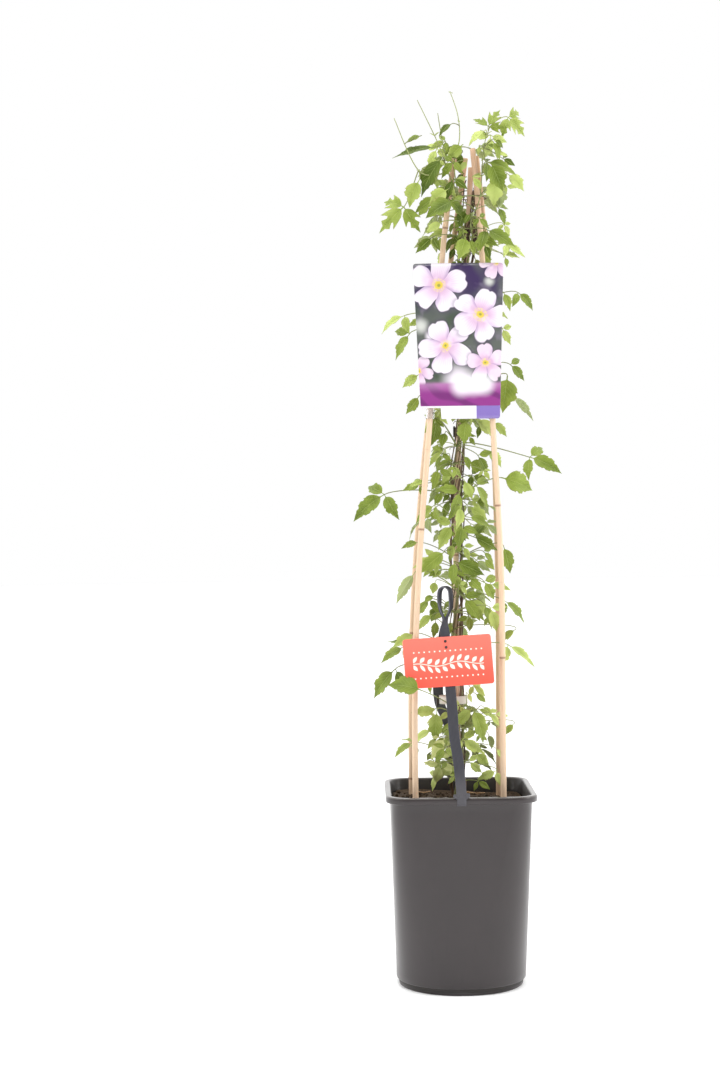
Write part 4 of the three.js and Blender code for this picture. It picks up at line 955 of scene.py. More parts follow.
def ring_line(ring, count, grow=0.0):
    """A ring's middle line. Round what it holds, each of its points is the furthest one that way."""
    ways = circle(count)[:, :2]
    if "holds" in ring:
        furthest = ring["holds"][np.argmax(ways @ ring["holds"][:, :2].T + ring["holds"][:, 2], axis=1)]
        flat = furthest[:, :2] + (furthest[:, 2:] + grow) * ways
    else:
        flat = np.array(ring["centre"][:2]) + (np.array([ring["across"], ring["deep"]]) + grow) * ways
    return np.column_stack([flat, np.full(count, float(ring["centre"][2]))])


# %% [markdown]
# A leaf has a stalk that grows from the nearest good place on its vine, and one blade or more at the
# stalk's fork. Each blade is folded along its rib and droops towards its tip, so a place on it is
# worked out from how far along and across it lies.

# %% A point on a blade
FOLD = 0.22  # rise of the margin for each millimetre from the rib


def on_blade(blade, t, w, lift=0.0, fold=FOLD):
    """Places on a blade: t along its rib, w across in millimetres. The rib bends down by its droop."""
    t, w, lift = (np.asarray(value, float)[..., None] for value in (t, w, lift))
    bend = blade["droop"] * t
    reach = blade["length"] * np.sin(bend) / blade["droop"]
    sink = blade["length"] * (1 - np.cos(bend)) / blade["droop"]
    rise = fold * np.abs(w) + lift
    forward = (reach + rise * np.sin(bend)) * blade["along"]
    return blade["base"] + forward + (rise * np.cos(bend) - sink) * blade["face"] + w * blade["side"]


def turn_z(v, angle):
    c, s = math.cos(angle), math.sin(angle)
    return np.array([c * v[0] - s * v[1], s * v[0] + c * v[1], v[2]])


# %% Where a leaf grows from
RING_CLEARANCE = 18  # a leaf doesn't start nearer than this above or below a tie


def root_places(vine):
    """The stem points that a leaf may grow from, with the way out from the cane at each."""
    places, ways = [], []
    for number, line in enumerate(vine["lines"]):
        for point in line[1:]:
            to_rings = [abs(point[2] - ring["centre"][2]) for ring in (STEM_BAND, STEM_CLIP, TOP_TIE)]
            in_ring = number == 0 and min(to_rings) < RING_CLEARANCE
            if in_ring or point[2] < SOIL_TOP + 8:
                continue
            away = (point - at_height(centre_cane, point[2])) * (1, 1, 0)
            places.append(point)
            ways.append(unit(away) if number == 0 else np.zeros(3))
    return np.array(places), np.array(ways)


def root_of(vine, fork):
    """The place to grow from: near, a little lower, and on the side that faces the leaf."""
    places, ways = vine["roots"]
    away = fork - places
    flat = np.hypot(away[:, 0], away[:, 1])
    on_branch = ~ways.any(axis=1)
    facing = np.where(on_branch, 1.0, (ways * away)[:, :2].sum(axis=1) / np.maximum(flat, 1e-9))
    cost = np.linalg.norm(away, axis=1) + 0.5 * np.abs(away[:, 2] - 0.35 * flat) + 16 * (1 - facing)
    best = int(np.argmin(cost))
    return places[best], ways[best]


# %% Lay out a leaf
AXIS_TOP = 1110  # the centre cane's line is used up to here


def bezier(controls, t):
    t = np.asarray(t)[:, None]
    a, b, c, d = controls
    return a * (1 - t) ** 3 + 3 * b * t * (1 - t) ** 2 + 3 * c * t**2 * (1 - t) + d * t**3


def lay_out(row, draws, vine, turn, lift):
    x, y, z, aim, size, kind, facing = row
    aim, facing_angle, angle = math.radians(aim), math.radians(facing), math.radians(turn)
    leaflets, width = KINDS[kind]
    axis = at_height(centre_cane, min(z, AXIS_TOP))
    fork = axis + turn_z(np.array([x, y, z + lift]) - axis, angle)
    lean = math.radians(-draws["lean"] if facing < 0 else draws["lean"])
    forward = (math.cos(aim) * math.cos(lean), -math.sin(lean), math.sin(aim) * math.cos(lean))
    along = turn_z(forward, angle)
    sky = turn_z(UP * math.cos(facing_angle) + FRONT * math.sin(facing_angle), angle)
    up = unit(sky - along * (sky @ along))
    side = np.cross(up, along)
    root, outward = root_of(vine, fork)
    distance = float(np.linalg.norm(root - fork))
    shoulder = root + outward * min(12, 0.4 * distance) + UP * (0.18 * distance)
    controls = (root, shoulder, fork - along * (0.2 * distance), fork)
    blades = []
    for i, (spread, share) in enumerate(leaflets):
        swing = math.radians(spread + draws["swing"][i])
        way = along * math.cos(swing) + side * math.sin(swing)
        tilt = math.radians(draws["tilt"][i])
        face = up * math.cos(tilt) + np.cross(up, way) * math.sin(tilt)
        blades.append({
            "base": fork, "along": way, "face": face, "side": np.cross(face, way),
            "droop": math.radians(draws["droop"][i]),
            "length": size * share, "width": size * share * width,
        })
    petiole = bezier(controls, [0, 0.34, 0.7, 1])
    return {"fork": fork, "controls": controls, "petiole": petiole, "blades": blades}


def probes_of(leaf):
    """Points spread over a leaf, by which it is kept clear of what is near it."""
    line = leaf["petiole"]
    probes = [mix(line[i - 1], line[i], t) for i in range(1, 4) for t in (0.33, 0.67, 1)]
    for blade in leaf["blades"]:
        t = np.repeat(np.arange(1, 9) / 8, 5)
        half = blade["width"] / 2 * np.minimum(1, np.minimum(2.9 * t, 2.45 * (1.02 - t)))
        probes += list(on_blade(blade, t, np.tile([-1, -0.5, 0, 0.5, 1], 8) * half))
    return np.array(probes)


# %% [markdown]
# What is near a leaf is held in two ways: canes, strap, ties and other vines are line segments with a
# reach, and card, label, soil and rim are tested by their own formulas. Leaves that are already in
# place form a crowd of points.

# %% What a leaf may not meet
def segments(line, reach, closed=False):
    line = np.vstack([line, line[:1]]) if closed else np.asarray(line, float)
    return [(line[i], line[i + 1] - line[i], reach) for i in range(len(line) - 1)]


def pack_segments(rows):
    return tuple(np.array(column) for column in zip(*rows))


fixed = [row for line in cane_lines.values() for row in segments(line, CANE_RADIUS + 2.8)]
fixed += segments(np.array(STRAP_ROUTE)[:, :3], STRAP_WIDTH / 2 + 1.5)
for ring, reach in ((STEM_BAND, 7.5), (STEM_CLIP, 7.5), (TOP_TIE, 4)):
    fixed += segments(ring_line(ring, 16), reach, closed=True)
for name, vine in VINES.items():
    vine["roots"] = root_places(vine)
    others = [line for other, rival in VINES.items() if other != name for line in rival["lines"]]
    vine["near"] = pack_segments(fixed + [row for line in others for row in segments(line, 4.4)])


def too_near(probes, near):
    starts, steps, reaches = near
    away = probes[:, None] - starts
    t = np.clip((away * steps).sum(-1) / (steps**2).sum(-1), 0, 1)
    return (np.linalg.norm(away - steps * t[..., None], axis=-1) < reaches).any()


def meets_fixed(p):
    """Whether any point meets the card, the label, the soil or the pot's rim."""
    x, y, z = p.T
    on_card = (abs(x - CARD_CENTRE[0]) < CARD_WIDTH / 2 + 4) & (abs(z - CARD_CENTRE[2]) < CARD_HEIGHT / 2 + 7)
    on_card &= abs(y - card_y(z)) < 4
    on_label = (x > LABEL_X_TOP[0] - 3) & (x < LABEL_X_TOP[1] + 3) & (abs(y - label_y(x, z)) < 4)
    on_label &= (z > LABEL_BOTTOM - 4) & (z < LABEL_TOP + 4)
    inside = np.maximum(abs(x), abs(y)) < TOP_HALF - 8
    return (on_card | on_label | (z < np.where(inside, SOIL_TOP + 8, POT_HEIGHT + 4))).any()


class Crowd:
    """The probe points of all leaves that are in place, with the vine that each belongs to."""

    def __init__(self):
        self.points = np.zeros((0, 3))
        self.vines = np.zeros(0, dtype="<U20")

    def take(self, leaf):
        self.points = np.vstack([self.points, leaf["probes"]])
        self.vines = np.append(self.vines, [leaf["vine"]] * len(leaf["probes"]))

    def meets(self, probes, name, own_reach, other_reach):
        low, high = probes.min(0) - other_reach, probes.max(0) + other_reach
        close = ((self.points > low) & (self.points < high)).all(1)
        away = np.linalg.norm(probes[:, None] - self.points[close], axis=-1)
        return (away < np.where(self.vines[close] == name, own_reach, other_reach)).any()


# %% Settle every leaf
crowd = Crowd()
TURNS = (0, 8, -8, 16, -16, 24, -24, 34, -34, 46, -46, 60, -60, 80, -80)  # degrees round the cane
LIFTS = (0, 7, -7, 14)  # millimetres up
AT_STEM = 3  # the first probes of a stalk, which may lie close to its neighbours


def settle(row, draws, name, turns=TURNS, lifts=LIFTS, own_reach=3.6, other_reach=5.6):
    """The first way to lay out a leaf in which it meets nothing."""
    for lift in lifts:
        for turn in turns:
            leaf = lay_out(row, draws, VINES[name], turn, lift)
            probes = probes_of(leaf)
            if meets_fixed(probes) or too_near(probes, VINES[name]["near"]):
                continue
            if not crowd.meets(probes[AT_STEM:], name, own_reach, other_reach):
                return {**leaf, "probes": probes, "vine": name, "row": row, "turn": turn, "lift": lift}
    return None


def leaf_draws(draw):
    draws = {"lean": draw(-4, 20), "swing": [], "tilt": [], "droop": []}
    for _ in range(3):
        draws["swing"].append(draw(-3, 3))
        draws["tilt"].append(draw(-24, 24))
        draws["droop"].append(draw(18, 52))
    return draws


placed_leaves = []
for name, rows in LEAVES.items():
    draw = make_draw(VINES[name]["seed"])
    for row in rows:
        leaf = settle(row, leaf_draws(draw), name)
        if leaf:
            placed_leaves.append(leaf)
            crowd.take(leaf)
turned_aside = [leaf for leaf in placed_leaves if leaf["turn"] or leaf["lift"]]
print(len(placed_leaves), "leaves placed,", len(turned_aside), "of them turned aside or lifted")

# %% [markdown]
# ## Small leaves between
# Between the large leaves sit many small ones, most of them close to the stems. They are too many for
# the plain model, so they are made only here. Each zone draws its own, with a seed, and a leaf that
# finds no clear place is left out.

# %% Small leaves
FILL_ZONES = [  # vine, seed, heights, reach from the cane, lengths, directions, how many are tried
    ("clematis_lower", 76, (290, 424), (10, 42), (12, 23), (140, 265), 190),
    ("clematis_lower", 71, (268, 422), (13, 62), (13, 26), (0, 360), 60),
    ("clematis_middle", 72, (425, 700), (13, 48), (15, 34), (0, 360), 150),
    ("clematis_upper", 73, (640, 790), (13, 46), (15, 32), (0, 360), 80),
    ("clematis_upper", 74, (790, 960), (14, 66), (16, 34), (0, 360), 50),
    ("clematis_top", 75, (990, 1150), (10, 58), (14, 34), (0, 360), 230),
    ("clematis_top", 77, (985, 1106), (5, 22), (12, 23), (0, 360), 110),
]
SMALL_KINDS = ("one", "pair", "three", "twin", "three", "broad")


def small_row(draw, heights, reaches, lengths, directions):
    z = draw(*heights)
    way = math.radians(draw(*directions))
    reach = mix(*reaches, draw(0, 1) ** 1.6)
    axis = at_height(centre_cane, min(z, AXIS_TOP))
    x, y = axis[0] + reach * math.cos(way), axis[1] + 0.8 * reach * math.sin(way)
    outward = 300 if math.cos(way) > 0 else 240
    aim = outward + draw(-34, 34) + 26 * math.cos(way)
    facing = draw(42, 66) if y < 8 else draw(-50, -28)
    kind = SMALL_KINDS[int(draw(0, 5.99))]
    return x, y, z, aim, draw(*lengths), kind, facing


small_leaves = []
for name, seed, heights, reaches, lengths, directions, count in FILL_ZONES:
    draw = make_draw(seed)
    for _ in range(count):
        row = small_row(draw, heights, reaches, lengths, directions)
        leaf = settle(row, leaf_draws(draw), name, (0, 14, -14), (0, 6), 1.5, 2.2)
        if leaf:
            small_leaves.append(leaf)
            crowd.take(leaf)
print(len(small_leaves), "small leaves found a clear place")

# %% [markdown]
# ## Stem and stalk finish
# One finish covers the whole stem. The mark `stem` holds how woody a point is (1 is brown, stringy bark
# and 0 is a green shoot), its tone, and 1 for a dead strand. Bark fibres run lengthwise, so the noise
# is stretched upwards.

# %% Stem finish
stem_finish = Finish("vine_stem", Roughness=0.7)
stem = stem_finish.mark("stem")
woody, stem_tone, dry_share = stem.part("X"), stem.part("Y"), stem.part("Z")
bark_fibre = stem_finish.grain(1400, 4.0, (1, 1, 0.1))
dry_colour = stem_finish.blend(stem_tone, shade(42, 30, 26), shade(96, 74, 52))
bark = stem_finish.overlay(
    stem_finish.blend(bark_fibre, shade(58, 44, 36), shade(138, 112, 90)), (dry_share * 0.7, dry_colour)
)
shoot = stem_finish.overlay(
    stem_finish.blend(stem_tone, shade(104, 112, 62), shade(152, 160, 100)),
    (stem_finish.rise(bark_fibre, 0.55, 0.75) * 0.4, shade(138, 96, 70)),
)
stem_finish.paint(Base_Color=stem_finish.blend(woody, shoot, bark))
stem_finish.emboss(bark_fibre, 0.35)

# %% [markdown]
# ## Leaf finish
# A leaf is darker and glossier above, and pale and matt below. Its veins are lighter lines: one rib,
# side veins that run forward to the margin, and a fine net between. The mark `blade` holds how far
# along and across a point is, and `leaf` holds the half width in millimetres, and the leaf's tones.
# These tones hold painted light: low leaves, margins and the palest greens are painted brighter.

# %% Leaf veins
VEIN_SLANT, VEIN_PAIRS = 0.26, 8.5  # how far side veins run forward, and how many leave the rib
leaf_finish = Finish("clematis_leaf", IOR=1.4, Specular_IOR_Level=0.32)
blade = leaf_finish.mark("blade")
leaf_mark = leaf_finish.mark("leaf")
t, s, upper = blade.part("X"), blade.part("Y"), blade.part("Z")
half, tone, young = leaf_mark.part("X"), leaf_mark.part("Y"), leaf_mark.part("Z")
rib = leaf_finish.rise(abs(s) * half, 0.55, 0.15)
side_wave = abs(((t - abs(s) * VEIN_SLANT) * VEIN_PAIRS).of("FRACT") - 0.5)
side_vein = leaf_finish.rise(side_wave, 0.07, 0.015) * leaf_finish.rise(abs(s), 0.97, 0.6)
cells = {"Vector": leaf_finish.place(), "Scale": 620.0}
net = leaf_finish.add("ShaderNodeTexVoronoi", {"feature": "DISTANCE_TO_EDGE"}, cells)
net_vein = leaf_finish.rise(net, 0.09, 0.02)
veins = leaf_finish.rise(rib + side_vein * 0.6 + net_vein * 0.18, 0.0, 1.0)

# %% Leaf colours
cloud = leaf_finish.grain(70, 3.0)
own_patch = leaf_finish.grain(32, 2.0) - 0.5
# Painted light: the margins are painted lighter than the rib, on top of the leaf's tone and random patches.
tone_and_painted_light = tone + own_patch * 0.55 + abs(s) * 0.16 - 0.08
dark_green = leaf_finish.blend(cloud, shade(54, 74, 2), shade(86, 106, 22))
mid_green = leaf_finish.blend(cloud, shade(108, 128, 42), shade(144, 160, 68))
# The brightest greens and the palest tint below are partly painted sheen, partly the young leaves' own
# colour.
bright_green = leaf_finish.blend(cloud, shade(162, 180, 76), shade(202, 214, 136))
top_colour = leaf_finish.overlay(
    dark_green,
    (leaf_finish.rise(tone_and_painted_light, 0.0, 0.5), mid_green),
    (leaf_finish.rise(tone_and_painted_light, 0.5, 1.05), bright_green),
    (leaf_finish.rise(tone_and_painted_light, 0.95, 1.5), shade(216, 222, 150)),
    (veins * 0.4, shade(186, 200, 116)),
    (leaf_finish.rise(abs(s), 0.9, 1.0) * young * 0.5, shade(150, 110, 84)),
)
under_colour = leaf_finish.overlay(
    leaf_finish.blend(cloud, shade(150, 164, 104), shade(178, 190, 134)), (veins * 0.6, shade(204, 212, 168))
)
leaf_finish.paint(
    Base_Color=leaf_finish.blend(upper, under_colour, top_colour),
    Roughness=0.62 - upper * 0.2 + cloud * 0.08,
)
leaf_finish.emboss(veins * (0.5 - upper) * 1.4 + leaf_finish.grain(1500, 2.0) * 0.15, 0.45)

# %% [markdown]
# ## Blades in fine mesh
# The plain form of a blade is an outline of a few corners. Here the same outline is a smooth curve with
# small teeth, over 30 rows. The lamina bulges between the side veins, its margin waves a little, and on
# the underside the rib stands out. Both faces are one closed sheet, half a millimetre thick.

# %% Blade outlines
LEAF_BASE = [(0, 0.05), (0.1, 0.05), (0.13, 0.12), (0.16, 0.36), (0.2, 0.6), (0.26, 0.84), (0.34, 0.97)]
SMOOTH_EDGE = LEAF_BASE + [
    (0.42, 1.0), (0.52, 0.94), (0.66, 0.74), (0.8, 0.44), (0.9, 0.21), (0.96, 0.08), (1, 0.004),
]
TOOTHED_EDGE = LEAF_BASE + [
    (0.4, 1.0), (0.42, 0.86), (0.52, 0.98), (0.62, 0.92), (0.645, 0.72), (0.67, 0.58), (0.76, 0.5),
    (0.8, 0.36), (0.9, 0.17), (0.96, 0.06), (1, 0.004),
]
LOBED_EDGE = [
    (0, 0.05), (0.1, 0.06), (0.14, 0.26), (0.2, 0.6), (0.28, 0.86), (0.34, 1.0), (0.4, 0.78),
    (0.45, 0.44), (0.52, 0.28), (0.6, 0.46), (0.66, 0.56), (0.72, 0.4), (0.77, 0.22), (0.84, 0.18),
    (0.92, 0.09), (1, 0.004),
]
TOOTHED_FROM = 26  # shorter blades have a smooth edge
FINE_FROM = 34  # shorter leaves are made over the small grid
LEAF_THICKNESS = 0.5


class BladeGrid:
    """The rows along a blade and the columns across it, with the marks for both of its faces."""

    def __init__(self, rows, columns):
        self.t, self.s = np.meshgrid(rows, columns, indexing="ij")
        marks = np.stack([self.t.ravel(), self.s.ravel(), np.ones(self.t.size)], -1)
        self.marks = np.concatenate([marks, marks * (1, 1, 0)])


FINE_GRID = BladeGrid(
    [0, 0.05, 0.1, 0.13, 0.16, 0.2, 0.24, 0.28, 0.32, 0.36, 0.4, 0.42, 0.445, 0.47, 0.5, 0.53, 0.56, 0.6,
     0.63, 0.65, 0.675, 0.7, 0.73, 0.765, 0.8, 0.84, 0.88, 0.92, 0.96, 1],
    [-1, -0.86, -0.62, -0.34, -0.12, 0, 0.12, 0.34, 0.62, 0.86, 1],
)
SMALL_GRID = BladeGrid(
    [0, 0.08, 0.13, 0.18, 0.25, 0.33, 0.4, 0.43, 0.5, 0.57, 0.62, 0.65, 0.7, 0.76, 0.8, 0.88, 0.95, 1],
    [-1, -0.7, -0.3, 0, 0.3, 0.7, 1],
)
TINY_GRID = BladeGrid([0, 0.15, 0.35, 0.6, 0.82, 1], [-1, 0, 1])
print("points on one face of a blade:", [grid.t.size for grid in (FINE_GRID, SMALL_GRID, TINY_GRID)])


# %% Blades
def edge_share(t, length, kind):
    """Half width at t as a share of the widest, with the main teeth and small ones."""
    rows = SMOOTH_EDGE if length < TOOTHED_FROM else TOOTHED_EDGE
    rows = np.array(LOBED_EDGE if kind == "lobed" else rows)
    share = np.interp(t, rows[:, 0], rows[:, 1])
    saw = (t * 9 + 0.55) % 1
    return share * (1 - 0.12 * saw * np.clip((t - 0.22) * 8, 0, 1) * np.clip((0.97 - t) * 12, 0, 1))


def leaf_blade(blade, kind, grid, draw):
    """One blade as a thin sheet. Its teeth point forward, so the margin runs ahead of the rib."""
    t, s = grid.t, grid.s
    size, widen, forward = blade["width"] / 2, 1.0, 0.08
    if kind == "lobed":
        widen, forward = 1.3, 0.3
    half = widen * size * edge_share(t, blade["length"], kind)
    w = s * np.maximum(half, 0.45 * (t < 0.14))
    between_veins = np.sin(2 * math.pi * ((t - np.abs(s) * VEIN_SLANT) * VEIN_PAIRS - 0.25))
    bulge = between_veins * np.abs(s) * (1 - np.abs(s))
    margin = np.sin(2 * math.pi * (t * draw(1.6, 2.6) + draw(0, 1) + np.sign(s) * 0.2)) * s**2
    open_part = np.clip((t - 0.14) * 7, 0, 1) * np.clip((1 - t) * 5, 0, 1)
    lift = FOLD * (np.hypot(w, 0.9) - 0.9) + open_part * (0.05 * size * bulge + 0.075 * size * margin)
    half_thick = LEAF_THICKNESS / 2 * np.clip(1.15 - np.abs(s) ** 4 * 0.6, 0.3, 1)
    rib = 0.45 * np.exp(-((w / 0.45) ** 2)) * np.clip(1.3 - t, 0.3, 1)
    t = t + forward * np.minimum(1.2, np.abs(w) / size) ** 2 * open_part * (1 - t)
    return sheet(
        on_blade(blade, t, w, lift + half_thick, fold=0),
        on_blade(blade, t, w, lift - half_thick - rib, fold=0),
    )


def tiny_leaf(base, along, length):
    """A young leaf of a few millimetres, folded like a boat."""
    across = unit(np.cross(along, UP))
    normal = np.cross(across, along)
    t, s = TINY_GRID.t[..., None], TINY_GRID.s[..., None]
    half = 0.2 * length * np.sin(math.pi * np.clip(t, 0.04, 0.96)) ** 0.8
    middle = base + along * length * t + across * half * s + normal * half * np.abs(s) * 0.5
    return sheet(middle + normal * 0.2, middle - normal * 0.2)


# %% Tone of a leaf
# Painted light: leaves low down get the brightest tones, against the shade they stand in.
TONES = [(1000, 0.08, 1.02), (425, 0.24, 0.86), (0, 0.62, 1.45)]  # from this height: darkest, brightest


def leaf_tone(leaf, draw):
    """Tone from 0 (dark) to 1 (bright). Leaves near the soil are painted brighter, as painted light against
    the shade they stand in; young leaves at the tips are bright.
    """
    (_, depth, height), size, kind = leaf["fork"], leaf["row"][4], leaf["row"][5]
    if depth < -70:
        return draw(0.15, 0.4)
    if kind == "lobed":
        return draw(0.42, 0.82)
    if height > 1000 and size > 40:
        return draw(0.0, 0.4)
    share = draw(0.0, 1.0)
    darkest, brightest = next(tones for above, *tones in TONES if height > above)
    return mix(darkest, brightest, share * share * (3 - 2 * share))


# %% [markdown]
# ## Old growth
# Thin dead stems of other years run beside each living one, with hooked stubs where their leaves were.
# They make the dark, stringy heart of the plant, and are made only here. Near the tips of the canes
# they end in a loose tangle.

# %% Old growth
def stem_radius(z):
    return mix(STEM_RADIUS, STEM_TIP_RADIUS, max(0.0, (z - 400) / 600))


def woodiness(z, top):
    return float(np.clip((top - 150 - z) / 220, 0, 1))


DEAD_TIPS = 22
OLD_GROWTH = {  # vine: the heights of its old strands, and the degrees by which each runs ahead of the stem
    "clematis_lower": (262, 424, (48, -70)),
    "clematis_middle": (300, 712, (40, -38)),
    "clematis_upper": (430, 965, (34, -46)),
    "clematis_top": (640, 1000, (42, -30)),
}


def hooked_stub(root, draw):
    """What is left of an old leaf stalk: it leaves the stem outward and curls down at its end."""
    way, reach = draw(0, 2 * math.pi), draw(4, 11)
    out = np.array([math.cos(way), math.sin(way), 0]) * reach
    rows = [root, root + out * 0.45 + UP * draw(1, 4), root + out, root + out * 1.1 - UP * draw(1.5, 5)]
    line = smooth_line(rows, 4)
    return tube(line, np.linspace(0.55, 0.3, len(line)), 5)


def old_strands(start, low, high, ahead, draw):
    """Thin dry stems of other years, beside the living one, each with its stubs."""
    bodies = []
    for degrees in ahead:
        sway, phase = draw(0.6, 1.8), draw(0, 6.28)
        line = wound_line(start + degrees, high, 7)
        line = line[line[:, 2] > low]
        heights = line[:, 2]
        axis = np.array([at_height(centre_cane, z) for z in heights])
        off = line - axis
        widen = 1.0 + 0.1 * sway * (1 + np.sin(heights / 23 + phase))
        line = axis + off * widen[:, None]
        line[:, 0] += 0.8 * np.sin(heights / 11 + phase)
        girth = draw(0.6, 1.0)
        bodies.append(tube(line, girth * (1 + 0.18 * np.sin(heights / 5 + phase)), 8))
        stubs = np.arange(draw(1, 4), len(line) - 1, draw(3.2, 5.2))
        bodies += [hooked_stub(line[int(k)], draw) for k in stubs]
    return bodies


def dry_tangle(draw):
    """Dead tips of the vine caught between the canes, where they come together."""
    bodies = []
    for _ in range(DEAD_TIPS):
        low, high = draw(935, 1030), draw(1050, 1108)
        way, phase, orbit = draw(0, 6.28), draw(0, 6.28), draw(5, 14)
        heights = np.arange(low, high, 5)
        line = np.array([at_height(centre_cane, z) for z in heights])
        turn = way + heights / 60
        line[:, 0] += orbit * np.cos(turn) + 1.6 * np.sin(heights / 9 + phase)
        line[:, 1] += 0.7 * orbit * np.sin(turn) + 1.2 * np.cos(heights / 7 + phase)
        bodies.append(tube(line, np.full(len(line), draw(0.5, 0.95)), 7))
        bodies += [hooked_stub(line[k], draw) for k in range(2, len(line) - 1, 5)]
    return bodies


# %% [markdown]
# ## Stems and leaves
# A stem is a tube that thickens at each knot, where a leaf stalk leaves it. Shoots carry pairs of tiny
# young leaves. For each vine, stem, stalks and old growth go into one mesh, and all blades into another.

# %% Stems, shoots and stalks
STEM_SIDES, STALK_SIDES, STALK_RINGS = 12, 7, 14


def add_stem(stems, vine, knot_places):
    line = wound_line(vine["start"], vine["top"], 4)
    knots = np.exp(-((np.linalg.norm(line[:, None] - knot_places, axis=-1) / 3.5) ** 2)).max(1)
    radii = [stem_radius(z) * mix(1, 1.28, knot) for z, knot in zip(line[:, 2], knots)]
    wood = np.repeat([woodiness(z, vine["top"] + 60) for z in line[:, 2]], STEM_SIDES)
    marks = np.column_stack([wood, np.full(len(wood), 0.3), np.zeros(len(wood))])
    stems.add(tube(line, radii, STEM_SIDES), stem=marks)


def add_shoot(stems, foliage, line, draw):
    stems.add(tube(line, np.linspace(STEM_TIP_RADIUS, 0.5, len(line)), 10), stem=(0, draw(0.3, 0.9), 0))
    for point in line[9 : len(line) - 1 : 11]:
        way, climb = draw(0, 2 * math.pi), draw(0.1, 0.9)
        for side in (0, math.pi):
            along = unit(np.array([math.cos(way + side), math.sin(way + side), climb]))
            length = draw(5, 12)
            leaf = tiny_leaf(point, along, length)
            foliage.add(leaf, blade=TINY_GRID.marks, leaf=(length / 5, draw(0.3, 0.9), 1))


def add_leaf(stems, foliage, leaf, draw):
    size, kind = leaf["row"][4:6]
    tone, young = leaf_tone(leaf, draw), draw(0, 1)
    grid = SMALL_GRID if size < FINE_FROM else FINE_GRID
    line = bezier(leaf["controls"], np.linspace(0, 1, STALK_RINGS))
    thick = mix(0.5, 0.85, min(1.0, size / 50))
    radii = np.linspace(thick * 1.1, thick * 0.75, STALK_RINGS)
    stems.add(tube(line, radii, STALK_SIDES), stem=(0, tone, 0))
    for blade in leaf["blades"]:
        own_tone = max(0.0, tone + draw(-0.12, 0.12))
        mark = (blade["width"] / 2, own_tone, young)
        foliage.add(leaf_blade(blade, kind, grid, draw), blade=grid.marks, leaf=mark)


# %% Vines
for number, (name, vine) in enumerate(VINES.items()):
    draw = make_draw(401 + number)
    stems, foliage = Clump(), Clump()
    own_leaves = [leaf for leaf in placed_leaves if leaf["vine"] == name]
    own_small = [leaf for leaf in small_leaves if leaf["vine"] == name]
    add_stem(stems, vine, np.array([leaf["controls"][0] for leaf in own_leaves]))
    for line in branch_lines(vine, 9):
        add_shoot(stems, foliage, line, draw)
    for leaf in own_leaves + own_small:
        add_leaf(stems, foliage, leaf, draw)
    dry = old_strands(vine["start"], *OLD_GROWTH[name], draw)
    if name == "clematis_top":
        dry += dry_tangle(draw)
    for body in dry:
        stems.add(body, stem=(1, draw(0, 1), 1))
    make_piece(name + "_stems", stems, stem_finish, "foliage", name)
    make_piece(name + "_leaves", foliage, leaf_finish, "foliage", name)

# %% [markdown]
# ## Carry strap
# The strap is a pressed polypropylene band, hooked under the pot's lip on both sides. Above the card it
# is gathered to a narrow neck and a looped head. Where it is narrower it is folded lengthwise, because
# the same width of band has to fit in.

# %% Strap finish
strap_finish = Finish("slate_band", Specular_IOR_Level=0.35)
band = strap_finish.mark("band")
across_band, up_band = band.part("X"), band.part("Z")
ridges = (across_band * 26.0).of("SINE")
wear = strap_finish.grain(160, 4.0, (1, 1, 0.3))
on_head = strap_finish.rise(up_band, 500, 520)
fold_highlight = strap_finish.rise(-(across_band * (3 * math.pi)).of("COSINE"), 0.2, 0.9)
strap_colour = strap_finish.overlay(
    strap_finish.blend(wear, shade(50, 50, 56), shade(66, 66, 72)),
    (on_head * 0.8, shade(28, 28, 32)),
    # Painted highlights: pale streaks along the folds of the head.
    (on_head * fold_highlight * 0.6, shade(120, 120, 128)),
    # Painted highlight: paler where the band turns over the lip.
    (strap_finish.rise(up_band, 312, 276) * 0.6, shade(88, 86, 90)),
    # Painted highlight: paler edges of the band.
    (strap_finish.rise(abs(across_band), 0.86, 1.0) * 0.4, shade(100, 101, 110)),
)
strap_finish.paint(Base_Color=strap_colour, Roughness=0.5 + wear * 0.15)
strap_finish.emboss(ridges, 0.12, 0.7)

# %% Strap line and section
HOOK_ROWS = 5  # rows at each end of the route that aren't smoothed
HEAD_FROM, HEAD_TURN = 520, 54  # the looped head, from this height, shows more of its flat side
GATHERED_FROM, FULL_WIDTH, FOLD_DEPTH = 490, 13.5, 3.2
rows = np.array(STRAP_ROUTE)
rows[(rows[:, 2] > HEAD_FROM) & (rows[:, 4] > 60), 4] = HEAD_TURN
route = np.concatenate([rows[:HOOK_ROWS], smooth_line(rows[HOOK_ROWS:-HOOK_ROWS], 6), rows[-HOOK_ROWS:]])
CORNER = [(1, 0.35), (0.97, 0.85), (0.9, 1), (0.6, 1), (0.3, 1), (0, 1)]
upper_half = CORNER + [(-a, b) for a, b in CORNER[-2::-1]]
section = np.array(upper_half + [(-a, -b) for a, b in upper_half])
print(len(route), "rings along the strap,", len(section), "points in each")

